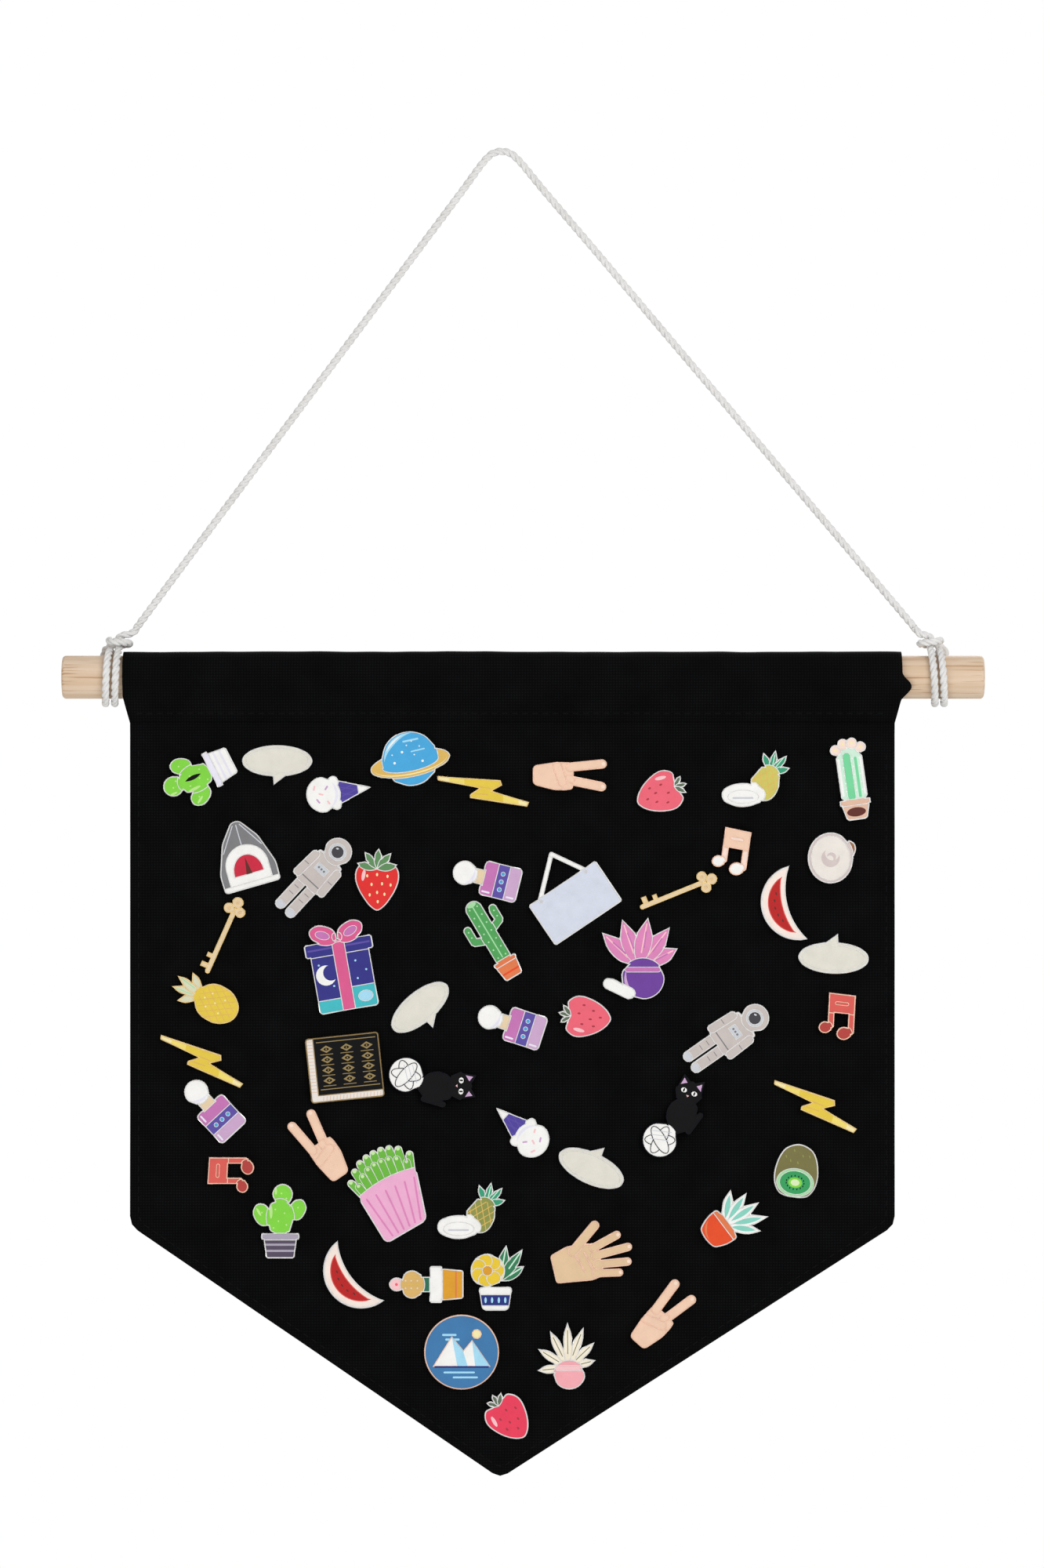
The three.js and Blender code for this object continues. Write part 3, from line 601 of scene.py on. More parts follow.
def add_pocket(canvas, thread):
    line, outward = pocket_loop()
    count = len(line)
    half = CANVAS_THICKNESS / 2
    points = []
    for i, share in enumerate(np.linspace(-1, 1, POCKET_STEPS)):
        lift = half * (1 - HEM_SKIN) if i in (0, POCKET_STEPS - 1) else half
        points += [pocket_point(share, j, line, outward, lift) for j in range(count)]
        points += [pocket_point(share, j, line, outward, -half) for j in reversed(range(count))]
    faces = grid_faces(POCKET_STEPS, 2 * count)
    final = (POCKET_STEPS - 1) * 2 * count
    for j in range(count - 1):
        inner = 2 * count - 1 - j
        faces.append([j + 1, j, inner, inner - 1])
        faces.append([final + j, final + j + 1, final + inner - 1, final + inner])
    faces = [face[::-1] for face in faces]
    piece = add_mesh("rod_pocket_canvas", points, faces, [canvas])
    dress(piece, "banner", "rod_pocket")

    shares = np.linspace(-POCKET_ROW_SHARE, POCKET_ROW_SHARE, POCKET_ROW_POINTS)
    for j, name in ((POCKET_ROW, "front"), (count - 1 - POCKET_ROW, "back")):
        run = np.array([pocket_point(share, j, line, outward, half) for share in shares])
        add_stitches(f"pocket_stitches_{name}", run, thread)


def add_stitches(name, line, thread):
    """Short rounded lengths of thread along a line of points."""
    run = distances(line)
    points, faces = [], []
    for begin in np.arange(STITCH_GAP, run[-1] - STITCH_LENGTH, STITCH_LENGTH + STITCH_GAP):
        faces += tube_faces(len(STITCH_ARCH), STITCH_SIDES, len(points))
        start, stop = (point_at(line, run, begin + far) for far in (0, STITCH_LENGTH))
        out = np.array([0.0, math.copysign(1, start[1]), 0.0])
        across = unit(np.cross(stop - start, out))
        for share, width, height in STITCH_ARCH:
            middle = start + (stop - start) * share + out * height * STITCH_RADIUS
            for angle in circle(STITCH_SIDES):
                rim = across * math.cos(angle) + out * math.sin(angle)
                points.append(middle + width * STITCH_RADIUS * rim)
    row = add_mesh(name, points, faces, [thread])
    dress(row, "banner", slot="canvas")
    return row


def face_loops(node, depth):
    """The closed outlines of a node's flat face at that y, as (x, z) points, the face on their left."""
    mesh = frame["nodes"][node].data
    places, edges = {}, set()
    covered = 0.0
    for polygon in mesh.polygons:
        corners = [mesh.vertices[v].co for v in polygon.vertices]
        if max(abs(c.y - depth) for c in corners) > FLAT_TOLERANCE:
            continue
        keys = [(round(c.x, PLACE_DIGITS), round(c.z, PLACE_DIGITS)) for c in corners]
        places.update((key, (c.x, c.z)) for key, c in zip(keys, corners))
        covered += area_of(np.array(keys))
        edges |= {(a, b) for a, b in zip(keys, keys[1:] + keys[:1]) if a != b}
    following = {}
    for a, b in sorted(edges):
        if (b, a) not in edges:
            first, second = (a, b) if covered > 0 else (b, a)
            following.setdefault(first, []).append(second)
    loops = []
    while following:
        loop, here = [], next(iter(following))
        while here in following:
            loop.append(here)
            there = following[here].pop()
            if not following[here]:
                del following[here]
            here = there
        loops.append(np.array([places[key] for key in loop]))
    return sorted(loops, key=lambda loop: -abs(area_of(loop)))


def area_of(loop):
    x, y = loop.T
    return 0.5 * float(np.sum(x * np.roll(y, -1) - np.roll(x, -1) * y))


def inside(points, loops):
    odd = np.zeros(len(points), bool)
    px, py = points.T
    for loop in loops:
        for (ax, ay), (bx, by) in zip(loop, np.roll(loop, -1, 0)):
            if ay != by:
                odd ^= ((ay > py) != (by > py)) & (px < ax + (py - ay) / (by - ay) * (bx - ax))
    return odd


def moved(loop, distance):
    """The loop with its edge moved outwards by a distance, or inwards by a negative one."""
    edge = np.roll(loop, -1, 0) - loop
    normal = unit(np.stack([edge[:, 1], -edge[:, 0]], 1))
    middle = normal + np.roll(normal, 1, 0)
    length = np.linalg.norm(middle, axis=1, keepdims=True)
    middle = np.where(length > FLAT_TOLERANCE, middle / np.maximum(length, FLAT_TOLERANCE), normal)
    reach = 1 / np.maximum(np.sum(middle * normal, axis=1, keepdims=True), MITRE_LIMIT)
    return loop + distance * middle * reach


def cut_plane(loops, within, extra=()):
    """The plane cut along the loops: points, the triangles within an outline, and their middles."""
    points, edges = [], []
    for loop in loops:
        base = len(points)
        points += [tuple(p) for p in loop]
        edges += [(base + i, base + (i + 1) % len(loop)) for i in range(len(loop))]
    points += [tuple(p) for p in extra]
    cut = delaunay_2d_cdt(points, edges, [], 0, CUT_TOLERANCE)
    points = np.array([tuple(p) for p in cut[0]])
    triangles = np.array([list(f) for f in cut[2] if len(f) == 3])
    middles = points[triangles].mean(axis=1)
    kept = inside(middles, within)
    triangles, middles = triangles[kept], middles[kept]
    a, b, c = (points[triangles[:, k]] for k in range(3))
    turn = (b[:, 0] - a[:, 0]) * (c[:, 1] - a[:, 1]) - (b[:, 1] - a[:, 1]) * (c[:, 0] - a[:, 0])
    return points, np.where(turn[:, None] > 0, triangles, triangles[:, ::-1]), middles


def divided(loop, step):
    out = []
    for a, b in zip(loop, np.roll(loop, -1, 0)):
        count = max(1, math.ceil(np.linalg.norm(b - a) / step))
        out += [a + (b - a) * k / count for k in range(count)]
    return np.array(out)


def edge_distance(points, loops):
    least = np.full(len(points), np.inf)
    for loop in loops:
        for a, b in zip(loop, np.roll(loop, -1, 0)):
            edge = b - a
            share = np.clip((points - a) @ edge / edge.dot(edge), 0, 1)
            least = np.minimum(least, np.linalg.norm(points - a - share[:, None] * edge, axis=1))
    return least


def cloth_wave(points):
    """How far the cloth stands off its plane: calm behind the badges, gently waved where it is free."""
    free = np.full(len(points), np.inf)
    for node, (x, z) in POSTS.items():
        low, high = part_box(node)
        reach = max(high[0] - x, x - low[0], high[2] - z, z - low[2])
        free = np.minimum(free, np.hypot(points[:, 0] - x, points[:, 1] - z) - reach)
    ease = np.clip(free / WAVE_EASE, 0, 1)
    ease = ease * ease * (3 - 2 * ease) * np.clip((SEAM_Z - points[:, 1]) / SEAM_EASE, 0, 1)
    broad = np.array([ripple(x, 1, z, *BROAD_WAVE) for x, z in points])
    fine = np.array([ripple(x, 1, z, *FINE_WAVE) for x, z in points])
    return (CALM_WAVE + (FREE_WAVE - CALM_WAVE) * ease) * (broad + FINE_WAVE_SHARE * fine)


def hem_line(outline, face):
    """The line of the stitches along the panel's edge, from below the seam on one side to the other."""
    hem = moved(outline, -EDGE_MARGIN)
    run = np.array([(x, face + w, z) for (x, z), w in zip(hem, cloth_wave(hem))])
    lower = run[:, 2] < SEAM_Z - 2 * EDGE_MARGIN
    first = next(i for i in range(len(run)) if lower[i] and not lower[i - 1])
    return np.roll(run, -first, 0)[:int(lower.sum())]


def add_panel(node, side, canvas, thread):
    """One layer of the panel: side is -1 in front and 1 behind."""
    low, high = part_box(node)
    face = low[1] if side < 0 else high[1]
    loops = face_loops(node, face)
    outline = divided(loops[0], CLOTH_STEP)
    cuts = [outline, *loops[1:]]
    grid = np.array([
        (x + (row % 2) * CLOTH_STEP / 2, z)
        for row, z in enumerate(np.arange(low[2], high[2], CLOTH_STEP * ROW_STEP))
        for x in np.arange(low[0], high[0], CLOTH_STEP)
    ])
    rings = [moved(outline, -inset) for inset in EDGE_RINGS]
    extra = np.vstack([grid[inside(grid, [rings[-1]])], *rings])
    points, triangles, _ = cut_plane(cuts, cuts, extra)

    wave = cloth_wave(points)
    near = np.clip(edge_distance(points, [outline]) / ROLL_WIDTH, 0, 1)
    roll = CLOTH_ROLL * (1 - np.sqrt(1 - (1 - near) ** 2))
    top = np.clip((SEAM_Z - points[:, 1]) / ROLL_EASE, 0, 1)
    outer = face + wave - side * roll * top
    inner = side * LAYER_GAP + wave
    solid = [(x, y, z) for depth in (outer, inner) for (x, z), y in zip(points, depth)]
    count = len(points)
    faces, edges = [], set()
    for a, b, c in triangles.tolist():
        faces += [[a, b, c], [c + count, b + count, a + count]]
        edges |= {(a, b), (b, c), (c, a)}
    faces += [[b, a, a + count, b + count] for a, b in edges if (b, a) not in edges]
    if side > 0:
        faces = [f[::-1] for f in faces]
    piece = add_mesh(node + "_canvas", solid, faces, [canvas])
    dress(piece, "banner", node)

    row = add_stitches(node + "_stitches", hem_line(outline, face), thread)


# Outlines of badge details, in millimetres
OVAL_STEPS_PER_MM = 6
OVAL_STEPS = (8, 40)  # the fewest and the most
BAR_STEPS = 6
LEAF_STEPS = 8
SHEEN_STEPS = 16


def curve(x, y, radius, start, stop, steps):
    angles = np.radians(np.linspace(start, stop, steps + 1))
    return np.stack([x + radius * np.cos(angles), y + radius * np.sin(angles)], 1)


def turned(points, degrees):
    c, s = math.cos(math.radians(degrees)), math.sin(math.radians(degrees))
    return points @ np.array([[c, s], [-s, c]])


def oval(x, y, width, height=None, turn=0):
    height = height or width
    angles = circle(int(np.clip(round(OVAL_STEPS_PER_MM * max(width, height)), *OVAL_STEPS)))
    outline = np.stack([width * np.cos(angles), height * np.sin(angles)], 1)
    return turned(outline, turn) + (x, y)


def dots(radius, *places, height=None, turn=0):
    return [oval(x, y, radius, height, turn) for x, y in places]


def bar(x1, y1, x2, y2, radius):
    heading = math.degrees(math.atan2(y2 - y1, x2 - x1))
    return np.vstack([curve(x1, y1, radius, heading + 90, heading + 270, BAR_STEPS),
                      curve(x2, y2, radius, heading - 90, heading + 90, BAR_STEPS)])


def leaf(x1, y1, x2, y2, width):
    root, tip = np.array([x1, y1]), np.array([x2, y2])
    across = width * unit(np.array([y1 - y2, x2 - x1]))
    t = np.linspace(0, 1, LEAF_STEPS, endpoint=False)[:, None]
    middle = (root + tip) / 2
    right = (1 - t) ** 2 * root + 2 * t * (1 - t) * (middle - across) + t**2 * tip
    left = (1 - t) ** 2 * tip + 2 * t * (1 - t) * (middle + across) + t**2 * root
    return np.vstack([right, left])


def fan(x, y, width, *tips):
    return [leaf(x, y, *tip, width) for tip in tips]


def between(root, tip, start, stop):
    """The ends of a stretch of the line from a root to a tip."""
    root, tip = np.array(root), np.array(tip)
    return *(root + start * (tip - root)), *(root + stop * (tip - root))


def veins(root, tips, start, stop, radius):
    """A fine line along each leaf of a fan."""
    return [bar(*between(root, tip, start, stop), radius) for tip in tips]


def shape(*corners):
    return np.array(corners, float).reshape(-1, 2)


def box(x1, y1, x2, y2):
    return shape(x1, y1, x2, y1, x2, y2, x1, y2)


def taper(half, bottom, top_half, top):
    """A pot's sides, with its half widths at the bottom and the top."""
    return shape(-half, bottom, half, bottom, top_half, top, -top_half, top)


def slab(half, bottom, top):
    return box(-half, bottom, half, top)


def crescent(x, y, radius, turn):
    outer = curve(0, 0, radius, 50, 310, 16)
    inner = curve(radius * 0.55, 0, radius * 0.78, 280, 80, 12)
    return turned(np.vstack([outer, inner]), turn) + (x, y)


def sheen(x, y, radius, start, stop, width):
    """A thin crescent of light along a round edge."""
    share = np.linspace(0, 1, SHEEN_STEPS + 1)
    angles = np.radians(start + (stop - start) * share)
    heading = np.stack([np.cos(angles), np.sin(angles)], 1)
    inner = (radius - width * np.sin(math.pi * share))[:, None] * heading
    return np.vstack([radius * heading, inner[-2:0:-1]]) + (x, y)


def hatch(x, y, width, height, turn, count=4):
    """Crossing fine lines over an oval fruit."""
    lines = []
    for i in range(count):
        at = (2 * i / (count - 1) - 1) * 0.62
        half = 0.78 * math.sqrt(1 - at * at)
        for lean in (-35, 35):
            line = turned(bar(at * width, -half * height, at * width, half * height, 0.13), lean)
            lines.append(turned(line, turn) + (x, y))
    return lines


LINE = 0.28  # width of the raised metal lines
FINE = 0.2  # width of the finer ones
BORDER = 0.42  # width of the metal rim
BEVEL = 0.16
RECESS = 0.14  # how far the enamel lies below the metal


def area(colour, *outlines, line=LINE):
    """One patch of enamel with metal lines round its outlines."""
    return colour, outlines, line


def each(colour, outlines, line=LINE):
    """A patch for each outline, the later ones on top."""
    return [area(colour, outline, line=line) for outline in outlines]


def printed(colour, *outlines):
    """A patch without metal lines."""
    return area(colour, *outlines, line=0)


# Badge designs: metal, ground colour and the areas painted on it, the later ones on top
def lime_cactus(pot, trim, *marks):
    arms = [oval(-5.6, 2.6, 3.1, 4.1, 30), oval(5.4, 4.2, 2.9, 3.9, -30)]
    trunk = [oval(0.8, 9.2, 3.4, 3.6), oval(0, 1.8, 4.6, 6.2)]
    spines = [(-1.6, 4.4), (1.4, 3.2), (-0.6, 0.6), (2, -0.6), (-2.2, -1.6)]
    spines += [(0.4, 9.6), (2, 8), (-6, 3.4), (5.8, 5)]
    glints = [oval(-3, 3.6, 0.5, 2.2), oval(-1.4, 10.4, 0.4, 1.3), oval(-7, 3.6, 0.4, 1.5, 30)]
    return "silver", "lime", [
        *each("lime", arms + trunk),
        printed("pale_lime", *glints, *dots(0.28, *spines)),
        *marks,
        area(pot, taper(4.6, -11.5, 5.6, -4.5)),
        printed(trim, slab(5, -7.4, -6.7), slab(4.8, -9.4, -8.7)),
        area(trim, slab(6.2, -5.5, -3.3)),
    ]


def speech_bubble():
    return "silver", "cream", [area("cream", oval(0, 0.8, 10.2, 4.1), line=FINE)]


def ice_cream():
    waffle = [bar(a * (2 * i - 4), 0.4, a * (2 * i - 1.2), -9, 0.12) for a in (1, -1) for i in range(4)]
    scoop = dots(1.9, (-3.8, 0.8), (0, 0.8), (3.8, 0.8)) + [oval(0, 4.6, 5.9, 5.6)]
    crumbs = [bar(2, 7.4, 3, 7, 0.3), bar(-3.2, 3, -2.4, 3.4, 0.3), bar(0, 4.8, 0.4, 5.8, 0.3)]
    return "silver", "white", [
        area("violet", shape(-4.6, 0.8, 0, -11.4, 4.6, 0.8)),
        printed("indigo", *waffle),
        area("white", shape(-1.7, -6.9, 0, -11.4, 1.7, -6.9)),
        area("white", *scoop),
        printed("lilac_white", sheen(0, 4.6, 4.9, 200, 320, 1)),
        printed("lilac", bar(-2.4, 6.2, -1.4, 6.8, 0.3), bar(1.6, 3.6, 2.4, 2.9, 0.3)),
        printed("pale_pink", *crumbs),
    ]


def planet():
    lean = 11.8

    def ring(width, height):
        return turned(curve(0, 0, 1, 180, 360, 28) * (width, height), lean) + (0.3, -1.9)

    upper = turned(curve(0, 0, 9.2, -8, 188, 30), lean) + (0.2, -0.5)
    specks = [(-5.6, 0.6), (0.6, 5.2), (3.2, 3.6), (-1, 3.8), (1.6, 0.8)]
    return "silver", "sky", [
        area("amber", oval(0.3, -1.9, 13.3, 4.5, lean)),
        # painted highlight: a thin pale line along the front of the ring
        printed("pale_yellow", np.vstack([ring(12.1, 3.8), ring(12.1, 3.4)[::-1]])),
        area("sky", np.vstack([upper, ring(9.3, 2.7)])),
        printed("pale_sky", sheen(0.2, -0.5, 8.4, 88, 188, 1.5)),
        printed("pale_sky", bar(-2, 5, 2.6, 6, 0.3), bar(0.6, 1.8, 4.8, 2.8, 0.22)),
        printed("white", sheen(0.2, -0.5, 8, 110, 165, 0.6)),
        printed("white", *dots(0.42, (-2.4, 1.6), (4.3, -1.2), (-4.8, -2)), *dots(0.24, *specks)),
    ]


def lightning():
    return "gold", "yellow", [
        printed("lemon", box(-16, 0, -6, 8), box(6.4, -8, 16, 0)),
        printed("pale_yellow", box(-16, 0, -11, 8), box(11.4, -8, 16, 0)),
        printed("amber", bar(-0.8, 0.9, 2.4, 0.4, 0.2), bar(-2.8, -1.2, 1.4, -1.6, 0.2)),
    ]


def hand(colour, tips, folded, thumb):
    return "rose", colour, [
        *each(colour, [bar(*tip, 1.5) for tip in tips]),
        *each(colour, [*folded, thumb]),
        printed("pale_peach", *[oval(x, y + 0.5, 0.6, 0.7) for _, _, x, y in tips]),
    ]


def peace_hand():
    tips = [(-2.8, 2, -3.8, 12.2), (1.6, 2, 3.6, 12)]
    folded = [oval(1.3, 1.5, 1.5, 1.9), oval(3.5, 1, 1.4, 1.9)]
    return hand("peach", tips, folded, bar(-3.2, -2.4, 2.2, -0.6, 1.4))


def open_hand():
    tips = [(-4, 2, -6.3, 10.1), (-1.3, 2, -1.7, 12.8), (1.6, 2, 2.9, 11.6), (4.4, 1, 5.8, 8.2)]
    palm = [bar(-3, -1.4, 3.6, 0.2, 0.16), bar(-2.6, -4.4, 3, -2.6, 0.16)]
    return hand("tan", tips, palm, bar(-4.2, -5, -10.9, 3.8, 1.5))


def berry(colour, seed_colour, seeds, leaf_colour, leaves):
    return "silver", colour, [
        # painted highlight: a pale patch on the left of the berry
        printed("pale_pink", oval(-4.4, 1.6, 0.6, 1.9, -10)),
        printed(seed_colour, *dots(0.34, *seeds, height=0.55)),
        *each(leaf_colour, leaves),
    ]


def pink_berry(colour):
    seeds = [(-2.4, 0.8), (1, 2), (3.8, 0.6), (-0.6, -1.8), (2.2, -2.6), (-2.8, -3), (0.2, -5)]
    return berry(colour, "dark_pink", seeds, "moss", fan(0, 4.6, 1.7, (-2.6, 8), (0.8, 9), (3.6, 7.6)))


def strawberry():
    seeds = [(-3.2, 1.4), (0, 1.8), (3.4, 1.2), (-1.8, -1.4), (1.6, -1.2), (4.4, -1.6)]
    seeds += [(0, -4), (2.4, -4.6), (-2.4, -4.8), (0.2, -7)]
    leaves = fan(0, 3.6, 2.6, (-6.8, 5.6), (-4.2, 9.4), (0.6, 10.6), (4.8, 9), (6.8, 5))
    return berry("red", "pale_yellow", seeds, "sepal", leaves)


def pineapple_plate(fruit):
    crown = fan(4.6, 2.2, 2.5, (2, 9.2), (6.2, 10), (10, 8.2), (11, 4))
    plate = [oval(-4.4, -4.8, 7.2, 4), *dots(1.7, (-8, -2.4), (-4.6, -1.4), (-1, -2.4))]
    return "silver", "white", [
        *each("teal", crown),
        printed("pale_mint", bar(4.9, 3.6, 5.9, 8.2, 0.16), bar(5.8, 3.8, 8.6, 7.2, 0.16)),
        area(fruit, oval(2.6, -1.2, 4.8, 6.4, -25)),
        printed("amber", *hatch(2.6, -1.2, 4.8, 6.4, -25)),
        area("white", *plate),
        area("white", oval(-4.4, -5.4, 5, 2.2), line=FINE),
        printed("pale_grey", bar(-7.6, -5.8, -1.4, -5.8, 0.3)),
    ]


def tall_cactus():
    blooms = [(-4, 10.3), (4.1, 10.4), (-1.4, 12), (1.5, 12)]
    spines = [(x, y) for x in (-2.2, 1, 3) for y in (-3.4, -0.8, 1.8, 4.4, 7)]
    return "silver", "pale_mint", [
        area("pale_mint", bar(0, -5, 0, 7.2, 4.4)),
        printed("white", bar(-3.5, -4.6, -3.5, 7, 0.4), bar(3.7, -4.6, 3.7, 7, 0.35)),
        area("mint", bar(-0.8, -5.4, -0.8, 7.8, 1.3), line=FINE),
        printed("mint", bar(2, -5.4, 2, 7, 0.45)),
        printed("white", *dots(0.24, *spines)),
        *each("shell", dots(1.9, *blooms)),
        printed("pale_yellow", *dots(0.5, *blooms)),
        area("clay", taper(3.3, -13, 4.8, -7.5)),
        printed("maroon", oval(0, -10.4, 3.1, 1.5)),
        area("clay", slab(5.1, -8.2, -6.2)),
    ]


def tent():
    door = np.vstack([shape(-7, -9.7, 7, -9.7), curve(0, -4.4, 7, 0, 180, 24)])
    mouth = np.vstack([shape(-4.9, -7, 4.9, -7), curve(0, 0, 4.9, 0, 180, 18) * (1, 1.2) + (0, -6.4)])
    return "silver", "grey", [
        printed("pale_grey", *[bar(1.2 * side, 9.4, 6.4 * side, 1.4, 0.16) for side in (-1, 0, 1)]),
        area("white", door),
        area("crimson", mouth),
        printed("maroon", shape(-1, -7, 1, -7, 0, -1.4)),
        area("white", slab(9.5, -11.5, -9.7)),
    ]


def astronaut():
    arms = [bar(4.9 * side, 5.4, 5.3 * side, -2.6, 1.5) for side in (-1, 1)]
    legs = [bar(2.2 * side, -3, 2.2 * side, -13.9, 1.95) for side in (-1, 1)]
    boots = [bar(2.2 * side - 0.5, -14.3, 2.2 * side + 0.5, -14.3, 1.4) for side in (-1, 1)]
    creases = [(side * x, y) for side in (-1, 1) for x, y in ((5.1, 1.6), (2.2, -6.4), (2.2, -9))]
    folds = [bar(x - 0.8, y, x + 0.8, y, 0.12) for x, y in creases]
    return "silver", "suit", [
        *each("suit", legs),
        *each("pale_grey", boots, FINE),
        area("suit", slab(4.4, -4.4, 7.4)),
        *each("suit", arms),
        printed("grey", *folds, bar(-3.4, -2.2, 3.4, -2.2, 0.2)),
        area("pale_grey", slab(2.2, 1.8, 4.4), line=FINE),
        printed("grey", *dots(0.4, (-1.1, 3.1), (0, 3.1), (1.1, 3.1))),
        area("suit", oval(0, 11, 4.7, 4.6)),
        area("pale_grey", oval(0, 10.8, 2.9, 2.8), line=FINE),
        area("charcoal", oval(0, 10.8, 2.1), line=FINE),
        # painted highlight: a small pale glint on the dark visor
        printed("pale_grey", oval(-0.8, 11.6, 0.5, 0.3, 30)),
    ]


def scent_bottle():
    return "silver", "magenta", [
        area("lilac", slab(5.8, -10.6, -6.4)),
        area("indigo", slab(5.8, -6.4, -2.6)),
        area("magenta", slab(5.8, -2.6, 2)),
        # painted highlights: pale streaks down the left side of the lilac and magenta bands
        printed("lilac_white", bar(-4.4, -9.4, -4.4, -7.4, 0.3), bar(-4.4, -1.4, -4.4, 0.8, 0.3)),
        *each("sky", dots(0.7, (-2.6, -4.5), (0, -4.5), (2.6, -4.5)), FINE),
        area("champagne", slab(2.6, 1.2, 4.2)),
        area("white", oval(0, 7.6, 4.1)),
        printed("lilac_white", sheen(0, 7.6, 3.4, 190, 310, 0.9)),
    ]


def hanging_sign():
    return "silver", "ice", [
        *each("white", [bar(-9, 3.6, 2.4, 14, 0.85), bar(8.6, 3.6, 2.4, 14, 0.85)]),
        area("ice", slab(13.2, -11.5, 4.3)),
        *each("pale_grey", dots(0.6, (-9, 3), (8.6, 3)), FINE),
    ]


def key():
    return "gold", "champagne", [
        area("champagne", bar(-12.6, 0, 9, 0, 0.9)),
        *each("champagne", [oval(9, 1.9, 1.8), oval(9, -1.9, 1.8), oval(11.6, 0, 1.9)]),
        *each("tan", dots(0.6, (9, 1.9), (9, -1.9), (11.6, 0)), FINE),
        area("champagne", box(4.6, -1.3, 5.8, 1.3)),
    ]


def music_note(beam, stem, head):
    return "rose", stem, [
        *each(stem, [bar(-3.5, 0, -3.5, -8.6, 1.1), bar(3.1, 0, 3.1, -10.4, 1.1)]),
        area(beam, shape(-4.6, -4.4, 4.2, -4.8, 4.2, 1.6, -4.6, 2.2)),
        area(stem, bar(-1.9, -1.2, 1.5, -1.4, 0.5), line=FINE),
        *each(head, [oval(-5.2, -9.2, 2.3, 2, 15), oval(1, -10.9, 2.6, 2.2, 15)]),
    ]


def cup_from_above():
    return "silver", "blush", [
        area("brown", oval(5.6, 3, 2.2, 3)),
        area("blush", oval(-0.5, 0.2, 7.5, 8.4)),
        area("page", oval(-0.5, 0.2, 6.3, 7.2), line=FINE),
        printed("blush", crescent(-0.5, 0.2, 3, 70), crescent(-0.2, 0.5, 1.5, 230)),
    ]


def melon_slice():
    rind = np.vstack([curve(7.4, 0, 11.9, 93, 267, 24), curve(26.1, 0, 22.6, 212, 148, 16)])
    flesh = np.vstack([curve(7.4, 0, 9.8, 112, 248, 20), curve(26.1, 0, 24.4, 201, 159, 14)])
    return "silver", "sage", [
        area("rind", rind, line=FINE),
        printed("coral", moved(flesh, 0.3)),
        printed("melon", flesh),
        printed("maroon", *dots(0.3, *curve(7.4, 0, 7.9, 145, 215, 4), height=0.55)),
    ]


def pineapple():
    glints = dots(0.3, (-2.4, -1), (0, 0.6), (2.4, -1), (0, -3.2), (-2.4, -5.6), (2.4, -5.6))
    return "gold", "yellow", [
        *each("sage", fan(0, 1.8, 2.8, (-5.4, 8.2), (5.4, 8.2), (-2, 12), (2, 12))),
        printed("pale_green", bar(-1.1, 5, -1.8, 10, 0.16), bar(1.1, 5, 1.8, 10, 0.16)),
        area("yellow", oval(0, -3.6, 6.2, 7.8)),
        printed("amber", *hatch(0, -3.6, 6.2, 7.8, 0, 5)),
        printed("pale_yellow", *glints),
    ]


def saguaro():
    left = [bar(-1, 0.4, -5.4, 2.2, 1.5), bar(-5.4, 2.2, -5.4, 6.6, 1.5)]
    right = [bar(1, 2.8, 5.4, 4.6, 1.5), bar(5.4, 4.6, 5.4, 8.8, 1.5)]
    spines = [(x, y) for x in (-1.4, 1.4) for y in range(-6, 13, 3)]
    spines += [(-5.4, 4), (-5.4, 6), (5.4, 6), (5.4, 8)]
    return "silver", "saguaro", [
        area("saguaro", *left, *right),
        area("saguaro", bar(0, -7, 0, 11.6, 2.9)),
        printed("pale_green", bar(0, -6.4, 0, 12.4, 0.2), oval(0, 13.2, 1.6, 0.8), *dots(0.3, *spines)),
        area("terracotta", taper(3.1, -14, 4.2, -7.2)),
        printed("orange_red", slab(3.2, -12, -11.4)),
        area("terracotta", slab(4.3, -8.8, -7)),
    ]


def leafy_pot():
    tips = [(-12, 8.6), (13, 3.4), (-5.4, 13), (10.4, 10.4), (3.2, 13.6)]
    return "silver", "orchid", [
        *each("orchid", fan(0, -3, 5.6, *tips)),
        printed("pale_pink", *veins((0, -3), tips, 0.3, 0.86, 0.22)),
        printed("magenta", *veins((1, -3), tips, 0.4, 0.7, 0.25)),
        area("purple", oval(1.4, -6.6, 7.2, 6.8)),
        area("magenta", bar(-3.6, -3.6, 6.4, -3.6, 0.8), line=FINE),
        printed("lilac", sheen(1.4, -6.6, 6, 150, 250, 1)),
        area("white", bar(-9.6, -8.2, -3, -11.4, 2)),
    ]


def gift_box():
    stars = [(-7.4, 1), (-3.6, -6.4), (4.6, 0.6), (7.6, -2.8), (4.4, -5.2)]
    return "silver", "navy", [
        area("navy", slab(9.8, -15, 4)),
        area("aqua", box(2, -15, 9.8, -7.6), box(-9.8, -15, -2, -10.6)),
        area("pale_sky", oval(6, -11.2, 2.4, 1.8), line=FINE),
        printed("white", crescent(-5.6, -2.6, 3.3, 20)),
        printed("pale_sky", *dots(0.35, *stars)),
        area("navy", slab(11.2, 3.6, 8.2)),
        printed("indigo", bar(-10, 6, 10, 6, 0.3)),
        area("rose_pink", slab(2, -15, 8.2)),
        *each("rose_pink", [oval(-4.4, 10.4, 4.8, 3.2, -24), oval(4.4, 10.4, 4.8, 3.2, 24)]),
        *each("magenta", [oval(-4.6, 10.4, 2.4, 1.3, -24), oval(4.6, 10.4, 2.4, 1.3, 24)], FINE),
        area("rose_pink", oval(0, 9.2, 1.7)),
    ]


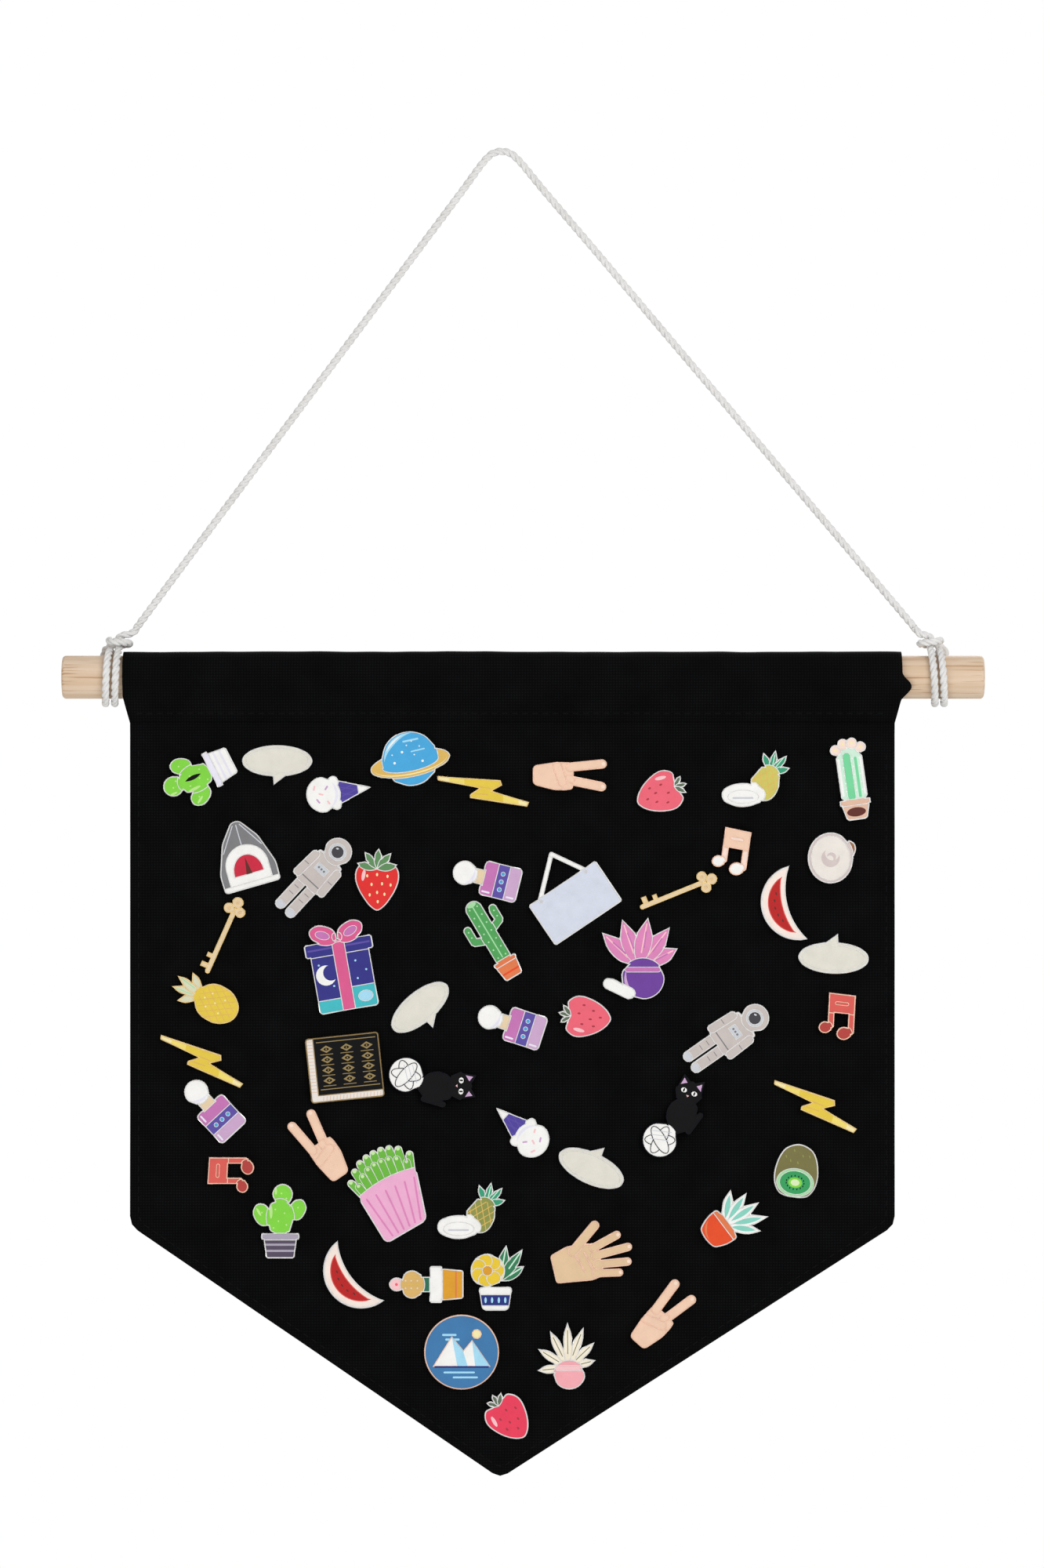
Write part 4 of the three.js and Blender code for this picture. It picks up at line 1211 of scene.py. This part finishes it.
def book():
    leaves = [bar(-11.4, y, -9.8, y, 0.1) for y in np.arange(-7, 10, 1.1)]
    leaves += [bar(x, -10, x + 0.2, -8.8, 0.1) for x in np.arange(-8, 11.5, 1.1)]
    marks = [(x, y) for x in (-5.4, 1.2, 7.8) for y in (6.6, 3.2, -0.2, -3.6)]
    frame_lines = [bar(-8.4, y, 10.8, y, 0.14) for y in (9, -6.4)]
    diamonds = [shape(x, y + 1.2, x - 2, y, x, y - 1.2, x + 2, y) for x, y in marks]
    underlines = [bar(x - 2, y - 1.7, x + 2, y - 1.7, 0.12) for x, y in marks]
    return "bronze", "black", [
        area("page", box(-12, -10.6, -9.4, 10.6), slab(12, -10.6, -8.2)),
        printed("clay", *leaves),
        printed("bronze", *frame_lines, *diamonds),
        printed("black", *dots(0.9, *marks, height=0.5)),
        printed("bronze", *dots(0.25, *marks), *underlines),
    ]


def cat_and_yarn():
    wool = [oval(-1.4, -8.6, 4.9, 1.9, turn) for turn in (20, 80, 140)]
    eyes = [(-0.2, 9.4), (3.4, 9.4)]
    return "nickel", "black", [
        area("black", bar(6.2, -2.6, 7.8, 3.6, 1.1)),
        area("black", oval(2.2, 1.6, 5, 6.6)),
        area("black", oval(1.6, 9, 4.7, 4.1)),
        printed("lilac", shape(-1.9, 10.8, 0, 12, -1.5, 13.2), shape(5.1, 10.8, 4.7, 13.2, 3.2, 12)),
        printed("white", *dots(1, *eyes, height=0.8)),
        printed("black", *dots(0.3, *eyes, height=0.7)),
        printed("pale_pink", shape(1.1, 8.2, 1.6, 7.6, 2.1, 8.2)),
        area("white", oval(-1.4, -8.6, 5.9)),
        *each("white", wool, 0.22),
        printed("pale_grey", *[bar(-4.6, -6.6 - k, 1.2, -5 - k, 0.12) for k in (0, 1.4, 2.8)]),
    ]


def fries():
    tops = (8, 10.8, 12.6, 13.4, 13.7, 13.6, 13, 11.6, 8.6)
    back = [(2.2 * i - 7.6, 3, 2.65 * i - 9.4, top) for i, top in enumerate(tops)]
    middles = [(top + after) / 2 for top, after in zip(tops, tops[1:])]
    front = [(2.2 * i - 6.5, 2, 2.5 * i - 7.6, top - 3.4) for i, top in enumerate(middles)]
    lip = [(x, 3.4 + 0.05 * x + 1.5 * (1 - ((x - 1.3) / 10.7) ** 2)) for x in np.linspace(12, -9.4, 18)]
    stripes = [bar(0.62 * x, -12.6 + 0.06 * x, x, 1.2, 0.3) for x in (-7, -3.6, -0.2, 3.2, 6.6, 10)]
    return "silver", "cup_pink", [
        *each("green_stick", [bar(*stick, 1.4) for stick in back], FINE),
        printed("stick_tip", *[oval(x, y + 0.4, 0.7) for _, _, x, y in back]),
        *each("green_stick", [bar(*stick, 1.2) for stick in front], FINE),
        printed("stick_tip", *[oval(x, y + 0.3, 0.6) for _, _, x, y in front]),
        area("cup_pink", np.vstack([shape(-7.4, -14.6, 8, -13.2), np.array(lip)])),
        printed("orchid", *stripes),
    ]


def kiwi():
    seeds = [(2.9 * x, 2.2 * y - 3.9) for x, y in curve(0, 0, 1, 0, 336, 14)]
    fuzz = [(-4, 4.2), (-1.6, 6.4), (1.4, 5), (3.6, 5), (0, 2.6), (-2.4, 3)]
    return "silver", "kiwi_skin", [
        printed("olive", *dots(0.2, *fuzz, height=0.5, turn=20)),
        area("pale_green", oval(0, -3.9, 6.1, 4.6), line=FINE),
        area("kiwi", oval(0, -3.9, 5.1, 3.8), line=FINE),
        printed("lime", oval(0, -3.9, 2.3, 1.7)),
        printed("kiwi_heart", oval(0, -3.9, 1.5, 1.1)),
        printed("black", *dots(0.2, *seeds, height=0.34)),
    ]


def spiky_pot():
    tips = [(-8.2, 5), (8.8, 4.8), (-4.2, 8.6), (6.4, 9.6), (0.8, 10)]
    hearts = [leaf(*between((0, -4), tip, 0.2, 0.84), 1.7) for tip in tips]
    return "silver", "white", [
        *each("white", fan(0, -4, 3.6, *tips), FINE),
        printed("aloe", *hearts),
        area("orange_red", taper(4.2, -11.4, 6.4, -2.2)),
        printed("terracotta", sheen(0, -6, 4.6, 190, 280, 0.7)),
        area("terracotta", slab(6.4, -4.2, -2.2)),
    ]


def small_cactus():
    spines = [(x, y) for x in (-1.2, 1.2) for y in (3.4, 5.4, 7.2)]
    return "silver", "sand", [
        area("pale_pink", oval(0, 9.9, 2.3, 2.8)),
        printed("pink", oval(0, 10.2, 0.5)),
        area("deep_teal", slab(2.6, -1.6, 2.4)),
        area("sand", oval(0, 5, 4.7, 4)),
        printed("amber", *[bar(x, 2.6, x, 7.6, 0.16) for x in (-2.4, 0, 2.4)]),
        printed("cream", *dots(0.24, *spines)),
        area("orange", taper(4.6, -11.6, 5.3, -4.4)),
        printed("terracotta", slab(4.8, -9.4, -8.9)),
        area("white", slab(6, -4.8, -0.6)),
    ]


def flower_pot():
    tips = [(9.6, 3.6), (3.6, 10.6), (9, 9.2)]
    return "silver", "bloom", [
        *each("leaf_green", fan(1.4, -1.6, 3.5, *tips)),
        printed("pale_mint", *veins((1.4, -1.6), tips, 0.4, 0.92, 0.22)),
        area("pale_yellow", oval(-2.6, 2, 5.6)),
        *each("bloom", dots(2.3, *curve(-2.6, 2, 3.2, 0, 309, 6))),
        area("orange", oval(-2.6, 2, 1.7)),
        area("white", taper(4.4, -11, 5.6, -3.2)),
        area("deep_blue", taper(4.5, -9.4, 5.1, -5.8)),
        printed("pale_sky", *[oval(x, -7.6, 0.4, 1) for x in (-3.2, -1.1, 1.1, 3.2)]),
    ]


def mountain_disc():
    shade = [shape(-3.2, 5, -1.4, -4.6, 2, -4.6, 0.4, 0.6), shape(3.4, 3.8, 4.4, -4.6, 9.2, -4.6)]
    return "rose", "lake", [
        printed("pale_sky", *[bar(-6 + k, 5.6 - 1.5 * k, -2 + k, 5.6 - 1.5 * k, 0.35) for k in (0, 1)]),
        area("pale_yellow", oval(4.9, 5.9, 1.5)),
        area("white", shape(-9.2, -4.6, 9.2, -4.6, 3.4, 3.8, 0.6, 0.4, -3.2, 5)),
        printed("pale_sky", *shade),
        printed("deep_blue", bar(-8.6, -4.8, 8.6, -4.8, 0.3)),
        printed("pale_sky", bar(-5.6, -6.6, 4, -6.6, 0.3), bar(-2.6, -8.2, 5, -8.2, 0.3)),
    ]


def cream_plant():
    tips = [(-9.6, -5), (9.8, -1.6), (-9.4, 2.2), (9.4, 4.4), (-5.4, 8.2), (5.8, 9.4), (0.4, 11)]
    return "silver", "ivory", [
        *each("ivory", fan(0.6, -4, 3, *tips)),
        printed("moss", *veins((0.6, -4), tips, 0.3, 0.8, 0.13)),
        area("soft_pink", oval(1, -6.4, 5.2, 4.8)),
        area("pale_pink", bar(-2.6, -4.2, 4.6, -4.2, 0.9), line=FINE),
    ]


# The pins of each kind in the order of their numbers: turn from upright in degrees, and design
def pins(design, *turns):
    return [(degrees, design) for degrees in turns]


DARK_MARK = printed("black", leaf(0.5, -0.5, 0.5, 5.3, 1.4))
BADGES = {
    "lime_cactus": [
        *pins(lime_cactus("white", "lilac_white", DARK_MARK), 117),
        *pins(lime_cactus("violet_grey", "lilac_grey"), 0),
    ],
    "speech_bubble": pins(speech_bubble(), 0, 178, 40, 155),
    "ice_cream": pins(ice_cream(), 99, -132),
    "planet": pins(planet(), 0),
    "lightning": pins(lightning(), 2, -13, -13),
    "peace_hand": pins(peace_hand(), -90, 35, -42),
    "pink_berry": [*pins(pink_berry("pink"), -66, 85), *pins(pink_berry("deep_pink"), 40)],
    "pineapple_plate": [*pins(pineapple_plate("straw"), 0), *pins(pineapple_plate("olive"), 0)],
    "tall_cactus": pins(tall_cactus(), 8),
    "tent": pins(tent(), 16),
    "astronaut": pins(astronaut(), -43, -55),
    "strawberry": pins(strawberry(), 0),
    "scent_bottle": pins(scent_bottle(), 76, 72, 43),
    "hanging_sign": pins(hanging_sign(), 34),
    "key": pins(key(), 22, 66),
    "music_note": [
        *pins(music_note("peach", "shell", "white"), -8),
        *pins(music_note("coral", "coral", "brick"), -3, 90),
    ],
    "cup_from_above": pins(cup_from_above(), 0),
    "melon_slice": pins(melon_slice(), 14, 38),
    "pineapple": pins(pineapple(), 61),
    "saguaro": pins(saguaro(), 31),
    "leafy_pot": pins(leafy_pot(), 0),
    "gift_box": pins(gift_box(), 10),
    "book": pins(book(), 6),
    "cat_and_yarn": pins(cat_and_yarn(), -92, -22),
    "fries": pins(fries(), 25),
    "kiwi": pins(kiwi(), -8),
    "spiky_pot": pins(spiky_pot(), -53),
    "small_cactus": pins(small_cactus(), 90),
    "flower_pot": pins(flower_pot(), 0),
    "open_hand": pins(open_hand(), -77),
    "mountain_disc": pins(mountain_disc(), 0),
    "cream_plant": pins(cream_plant(), 0),
}


def badge_of(node):
    """The turn and the design of a pin's badge."""
    kind, number = node.split("_pin")
    return BADGES[kind][int(number[1:] or 1) - 1]


# Badge faces: the rim, the raised lines and the recessed enamel
SHARP_CORNER = 65  # degrees of turn from which an outline's corner stays sharp
SHARP_HOLLOW = 30
LEAST_EDGE = 0.05
LEAST_BEND = 0.02
BEND_POINTS = 4
STRAIGHT_SHARE = 2.2  # an edge this many times longer than its neighbour stays straight
ON_RIM = 1e-4


def leftward(loop):
    return loop if area_of(loop) > 0 else loop[::-1]


def painted(ground, regions, rims):
    """Cuts a badge's face along all its lines. Returns points, triangles, and the colour of each triangle."""
    lines, tests = [], []
    for colour, outlines, width in regions:
        grown, shrunk = [], []
        for outline in map(leftward, outlines):
            grown.append(moved(outline, width / 2) if width else outline)
            shrunk.append(moved(outline, -width / 2) if width else outline)
        lines += grown + (shrunk if width else [])
        tests.append((colour, grown, shrunk))
    inset = [moved(loop, -BORDER) for loop in rims]
    bevel = [moved(loop, -BEVEL) for loop in rims]
    points, triangles, middles = cut_plane(rims + bevel + inset + lines, rims)
    colours = np.array([ground] * len(triangles), dtype=object)
    for colour, grown, shrunk in tests:
        outer = np.any([inside(middles, [loop]) for loop in grown], axis=0)
        inner = np.any([inside(middles, [loop]) for loop in shrunk], axis=0)
        colours[outer & ~inner] = "metal"
        colours[inner] = colour
    colours[~inside(middles, inset)] = "metal"
    return points, triangles, colours


def softened(loop):
    """The outline with a smooth curve through its corners, apart from the sharp ones."""
    loop = loop[np.linalg.norm(loop - np.roll(loop, 1, 0), axis=1) > LEAST_EDGE]
    edge = np.roll(loop, -1, 0) - loop
    length = np.linalg.norm(edge, axis=1, keepdims=True)
    heading = edge / length
    before, length_before = np.roll(heading, 1, 0), np.roll(length, 1, 0)
    turn = np.degrees(np.arctan2(
        before[:, 0] * heading[:, 1] - before[:, 1] * heading[:, 0], np.sum(before * heading, axis=1)))
    sharp = ((turn > SHARP_CORNER) | (turn < -SHARP_HOLLOW))[:, None]
    tangent = unit(before * length + heading * length_before)
    tangent = np.where(length > STRAIGHT_SHARE * length_before, heading, tangent)
    tangent = np.where(length_before > STRAIGHT_SHARE * length, before, tangent)
    leave = np.where(sharp, heading, tangent) * length
    arrive = np.roll(np.where(sharp, before, tangent), -1, 0) * length
    out = []
    for a, b, u, v in zip(loop, np.roll(loop, -1, 0), leave, arrive):
        bend = np.linalg.norm(u - (b - a)) + np.linalg.norm(v - (b - a))
        t = np.linspace(0, 1, BEND_POINTS if bend > LEAST_BEND else 1, endpoint=False)
        out.append(hermite(a, b, u, v, t[:, None]))
    return np.vstack(out)


class Solid:
    """Collects points and faces, with points shared by place."""

    def __init__(self):
        self.points, self.faces, self.kinds, self.keys = [], [], [], {}

    def point(self, *spot):
        key = tuple(round(value, PLACE_DIGITS) for value in spot)
        if key not in self.keys:
            self.keys[key] = len(self.points)
            self.points.append(spot)
        return self.keys[key]

    def face(self, corners, kind):
        ids = [self.point(*corner) for corner in corners]
        if len(set(ids)) > 2:
            self.faces.append(list(dict.fromkeys(ids)))
            self.kinds.append(kind)


# Posts and their clutches, behind the canvas
CLUTCH_FRONT = 0.00125
CLUTCH_SIDES = 32
CLUTCH_TURN = 20  # degrees, against the badge
CLUTCH_PROFILE = [  # radius and depth in millimetres: the pressed disc, then the domed hub
    (0.75, 0.15), (1.6, 0.08), (4.4, 0.0), (4.85, 0.08), (5.0, 0.3), (4.85, 0.55), (4.4, 0.62), (3.1, 0.6),
    (2.75, 1.0), (2.3, 1.75), (1.6, 2.15), (0.95, 2.2), (0.75, 1.9),
]
WING_LINE = [(0.7, 1.9), (1.0, 2.5), (1.7, 3.0), (2.3, 3.7), (2.6, 4.5), (2.45, 4.85), (2.15, 4.7)]
WING_WIDTH = 0.0026
WING_ROOT = 0.6  # of its width
WING_BULGE = 4  # points from its root over which it is wider
WING_THICKNESS = 0.0003
WING_CORNERS = ((-1, -1), (1, -1), (1, 1), (-1, 1))
POST_SHOULDER = CLUTCH_FRONT + 0.0036
POST_TIP = CLUTCH_FRONT + 0.0046
POST_POINT = 0.00008  # radius left at the tip
POST_SIDES = 12


def add_post(solid, post, back):
    shaft = [(POST_RADIUS, back), (POST_RADIUS, POST_SHOULDER), (POST_POINT, POST_TIP)]
    faces = tube_faces(len(shaft), POST_SIDES, len(solid.points), caps_turned=True)
    for radius, y in shaft:
        ring = [(radius * math.cos(a), radius * math.sin(a)) for a in circle(POST_SIDES)]
        solid.points += [(post[0] + x, y, post[1] + z) for x, z in ring]
    solid.faces += faces
    solid.kinds += [0] * len(faces)


def add_badge(node, post, degrees, design, materials):
    metal, ground, regions = design
    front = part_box(node)[0][1]
    back = front + BADGE_THICKNESS
    rims = [softened(turned((loop - post) / MM, -degrees)) for loop in face_loops(node, front)]
    points, triangles, colours = painted(ground, regions, rims)
    names = ["metal"] + sorted(set(colours) - {"metal"})
    kinds = [names.index(colour) for colour in colours]
    flat = turned(points, degrees) * MM + post
    on_rim = edge_distance(points, rims) < ON_RIM
    solid = Solid()

    def face_point(i, raised):
        y = front + (BEVEL * MM if on_rim[i] else 0) if raised else front + RECESS * MM
        return flat[i][0], y, flat[i][1]

    def back_point(i):
        return flat[i][0], back, flat[i][1]

    sides = {}
    for triangle, kind in zip(triangles.tolist(), kinds):
        solid.face([face_point(i, kind == 0) for i in triangle], kind)
        for a, b in zip(triangle, triangle[1:] + triangle[:1]):
            sides[(a, b)] = kind
    for (a, b), kind in sides.items():
        top = [face_point(b, True), face_point(a, True)]
        other = sides.get((b, a))
        if other is None:
            solid.face([*top, back_point(a), back_point(b)], 0)
        elif kind == 0 and other > 0:
            solid.face([*top, face_point(a, False), face_point(b, False)], 0)
    for triangle in triangles.tolist():
        solid.face([back_point(i) for i in reversed(triangle)], 0)

    add_post(solid, post, back)
    used = [materials["metal_" + metal]] + [materials["enamel_" + name] for name in names[1:]]
    piece = add_mesh(node + "_badge", solid.points, solid.faces, used, solid.kinds, smooth=False)
    dress(piece, node, node)


def clutch_mesh(material):
    """A pressed disc with a domed hub and two squeeze wings, round the post at the origin."""
    points = [
        (radius * MM * math.cos(a), CLUTCH_FRONT + y * MM, radius * MM * math.sin(a))
        for radius, y in CLUTCH_PROFILE for a in circle(CLUTCH_SIDES)
    ]
    faces = grid_faces(len(CLUTCH_PROFILE), CLUTCH_SIDES, wrap_rows=True)
    middle = np.array(WING_LINE) * MM
    along = unit(np.gradient(middle, axis=0))
    outward = np.stack([along[:, 1], -along[:, 0]], 1)
    for side in (-1, 1):
        wing = tube_faces(len(WING_LINE), len(WING_CORNERS), len(points))
        faces += wing if side > 0 else [f[::-1] for f in wing]
        for k, (spot, out) in enumerate(zip(middle, outward)):
            bulge = math.sin(math.pi * min(1, k / WING_BULGE))
            half = WING_WIDTH / 2 * (WING_ROOT + (1 - WING_ROOT) * bulge)
            for lift, across in WING_CORNERS:
                r, y = spot + out * lift * WING_THICKNESS / 2
                points.append((side * r, CLUTCH_FRONT + y, across * half))
    return new_mesh("clutch", points, faces, [material])


def add_badges():
    materials = {"metal_" + name: metal_material("metal_" + name, *look) for name, look in METALS.items()}
    materials |= {"enamel_" + name: enamel_material(name, colour) for name, colour in ENAMELS.items()}
    clutch = clutch_mesh(materials["metal_brass"])
    for node, post in POSTS.items():
        degrees, design = badge_of(node)
        add_badge(node, post, degrees, design, materials)
        piece = add_object(node + "_clutch", clutch)
        piece.location = (post[0], 0, post[1])
        piece.rotation_euler = (0, -math.radians(degrees + CLUTCH_TURN), 0)
        dress(piece, node, slot="rose_gold")


# Floor and light
FLOOR_DROP = 0.75
FLOOR_HALF = 1.2
FLOOR_SOLID = 0.3  # radius from which the floor fades out towards its rim
LIGHTS = {  # place, size and power
    "key": ((0.9, -1.6, 0.3), 1.0, 14.0),
    "fill": ((-1.0, -1.4, -1.0), 1.0, 8.0),
    "top": ((0.2, -0.2, 1.5), 0.9, 0.8),
    "back": ((0.4, 1.5, 0.4), 1.0, 8.0),
}
LIGHT_AIM = (0.0, 0.0, -0.25)
SKY_LIGHT = 0.55


def add_floor():
    material, tree, surface = new_material("floor", Specular_IOR_Level=0.1, Roughness=0.9)
    flat = place(tree, (1, 1, 0))
    tint = ramp(tree, speckle(tree, flat, 4.0), (0.3, "#eeeeec"), (0.7, "#f4f4f3"))
    tree.links.new(tint, surface.inputs["Base Color"])
    radius = add_node(tree, "ShaderNodeVectorMath", {0: flat}, operation="LENGTH").outputs["Value"]
    reach = {"Value": radius, "From Min": FLOOR_SOLID, "From Max": FLOOR_HALF}
    fade = add_node(tree, "ShaderNodeMapRange", reach, interpolation_type="SMOOTHSTEP").outputs["Result"]
    clear = add_node(tree, "ShaderNodeBsdfTransparent").outputs["BSDF"]
    mixed = add_node(tree, "ShaderNodeMixShader", {0: fade, 1: surface.outputs["BSDF"], 2: clear})
    tree.links.new(mixed.outputs["Shader"], tree.nodes["Material Output"].inputs["Surface"])
    corners = [(x * FLOOR_HALF, y * FLOOR_HALF, -FLOOR_DROP) for x, y in ((-1, -1), (1, -1), (1, 1), (-1, 1))]
    add_mesh("floor", corners, [[0, 1, 2, 3]], [material])


def add_lights():
    for name, (spot, size, power) in LIGHTS.items():
        data = bpy.data.lights.new(name, "AREA")
        data.size = size
        data.energy = power
        light = add_object(name, data)
        light.location = spot
        heading = Vector(LIGHT_AIM) - Vector(spot)
        light.rotation_euler = heading.to_track_quat("-Z", "Y").to_euler()
    world = bpy.data.worlds.new("studio")
    world.use_nodes = True
    bpy.context.scene.world = world
    tree = world.node_tree
    rays = add_node(tree, "ShaderNodeLightPath").outputs
    seen = combine(tree, "MAXIMUM", rays["Is Camera Ray"], rays["Is Glossy Ray"])
    seen = combine(tree, "MAXIMUM", seen, rays["Is Transmission Ray"])
    background = tree.nodes["Background"]
    background.inputs["Color"].default_value = (1, 1, 1, 1)
    tree.links.new(spread(tree, seen, SKY_LIGHT, 1.0), background.inputs["Strength"])
    bpy.context.scene.view_settings.view_transform = "Standard"


def main():
    add_camera()
    add_cord()
    add_dowel()
    canvas = canvas_material()
    thread = thread_material()
    add_pocket(canvas, thread)
    add_panel("front_panel", -1, canvas, thread)
    add_panel("back_panel", 1, canvas, thread)
    add_badges()
    add_floor()
    add_lights()


main()
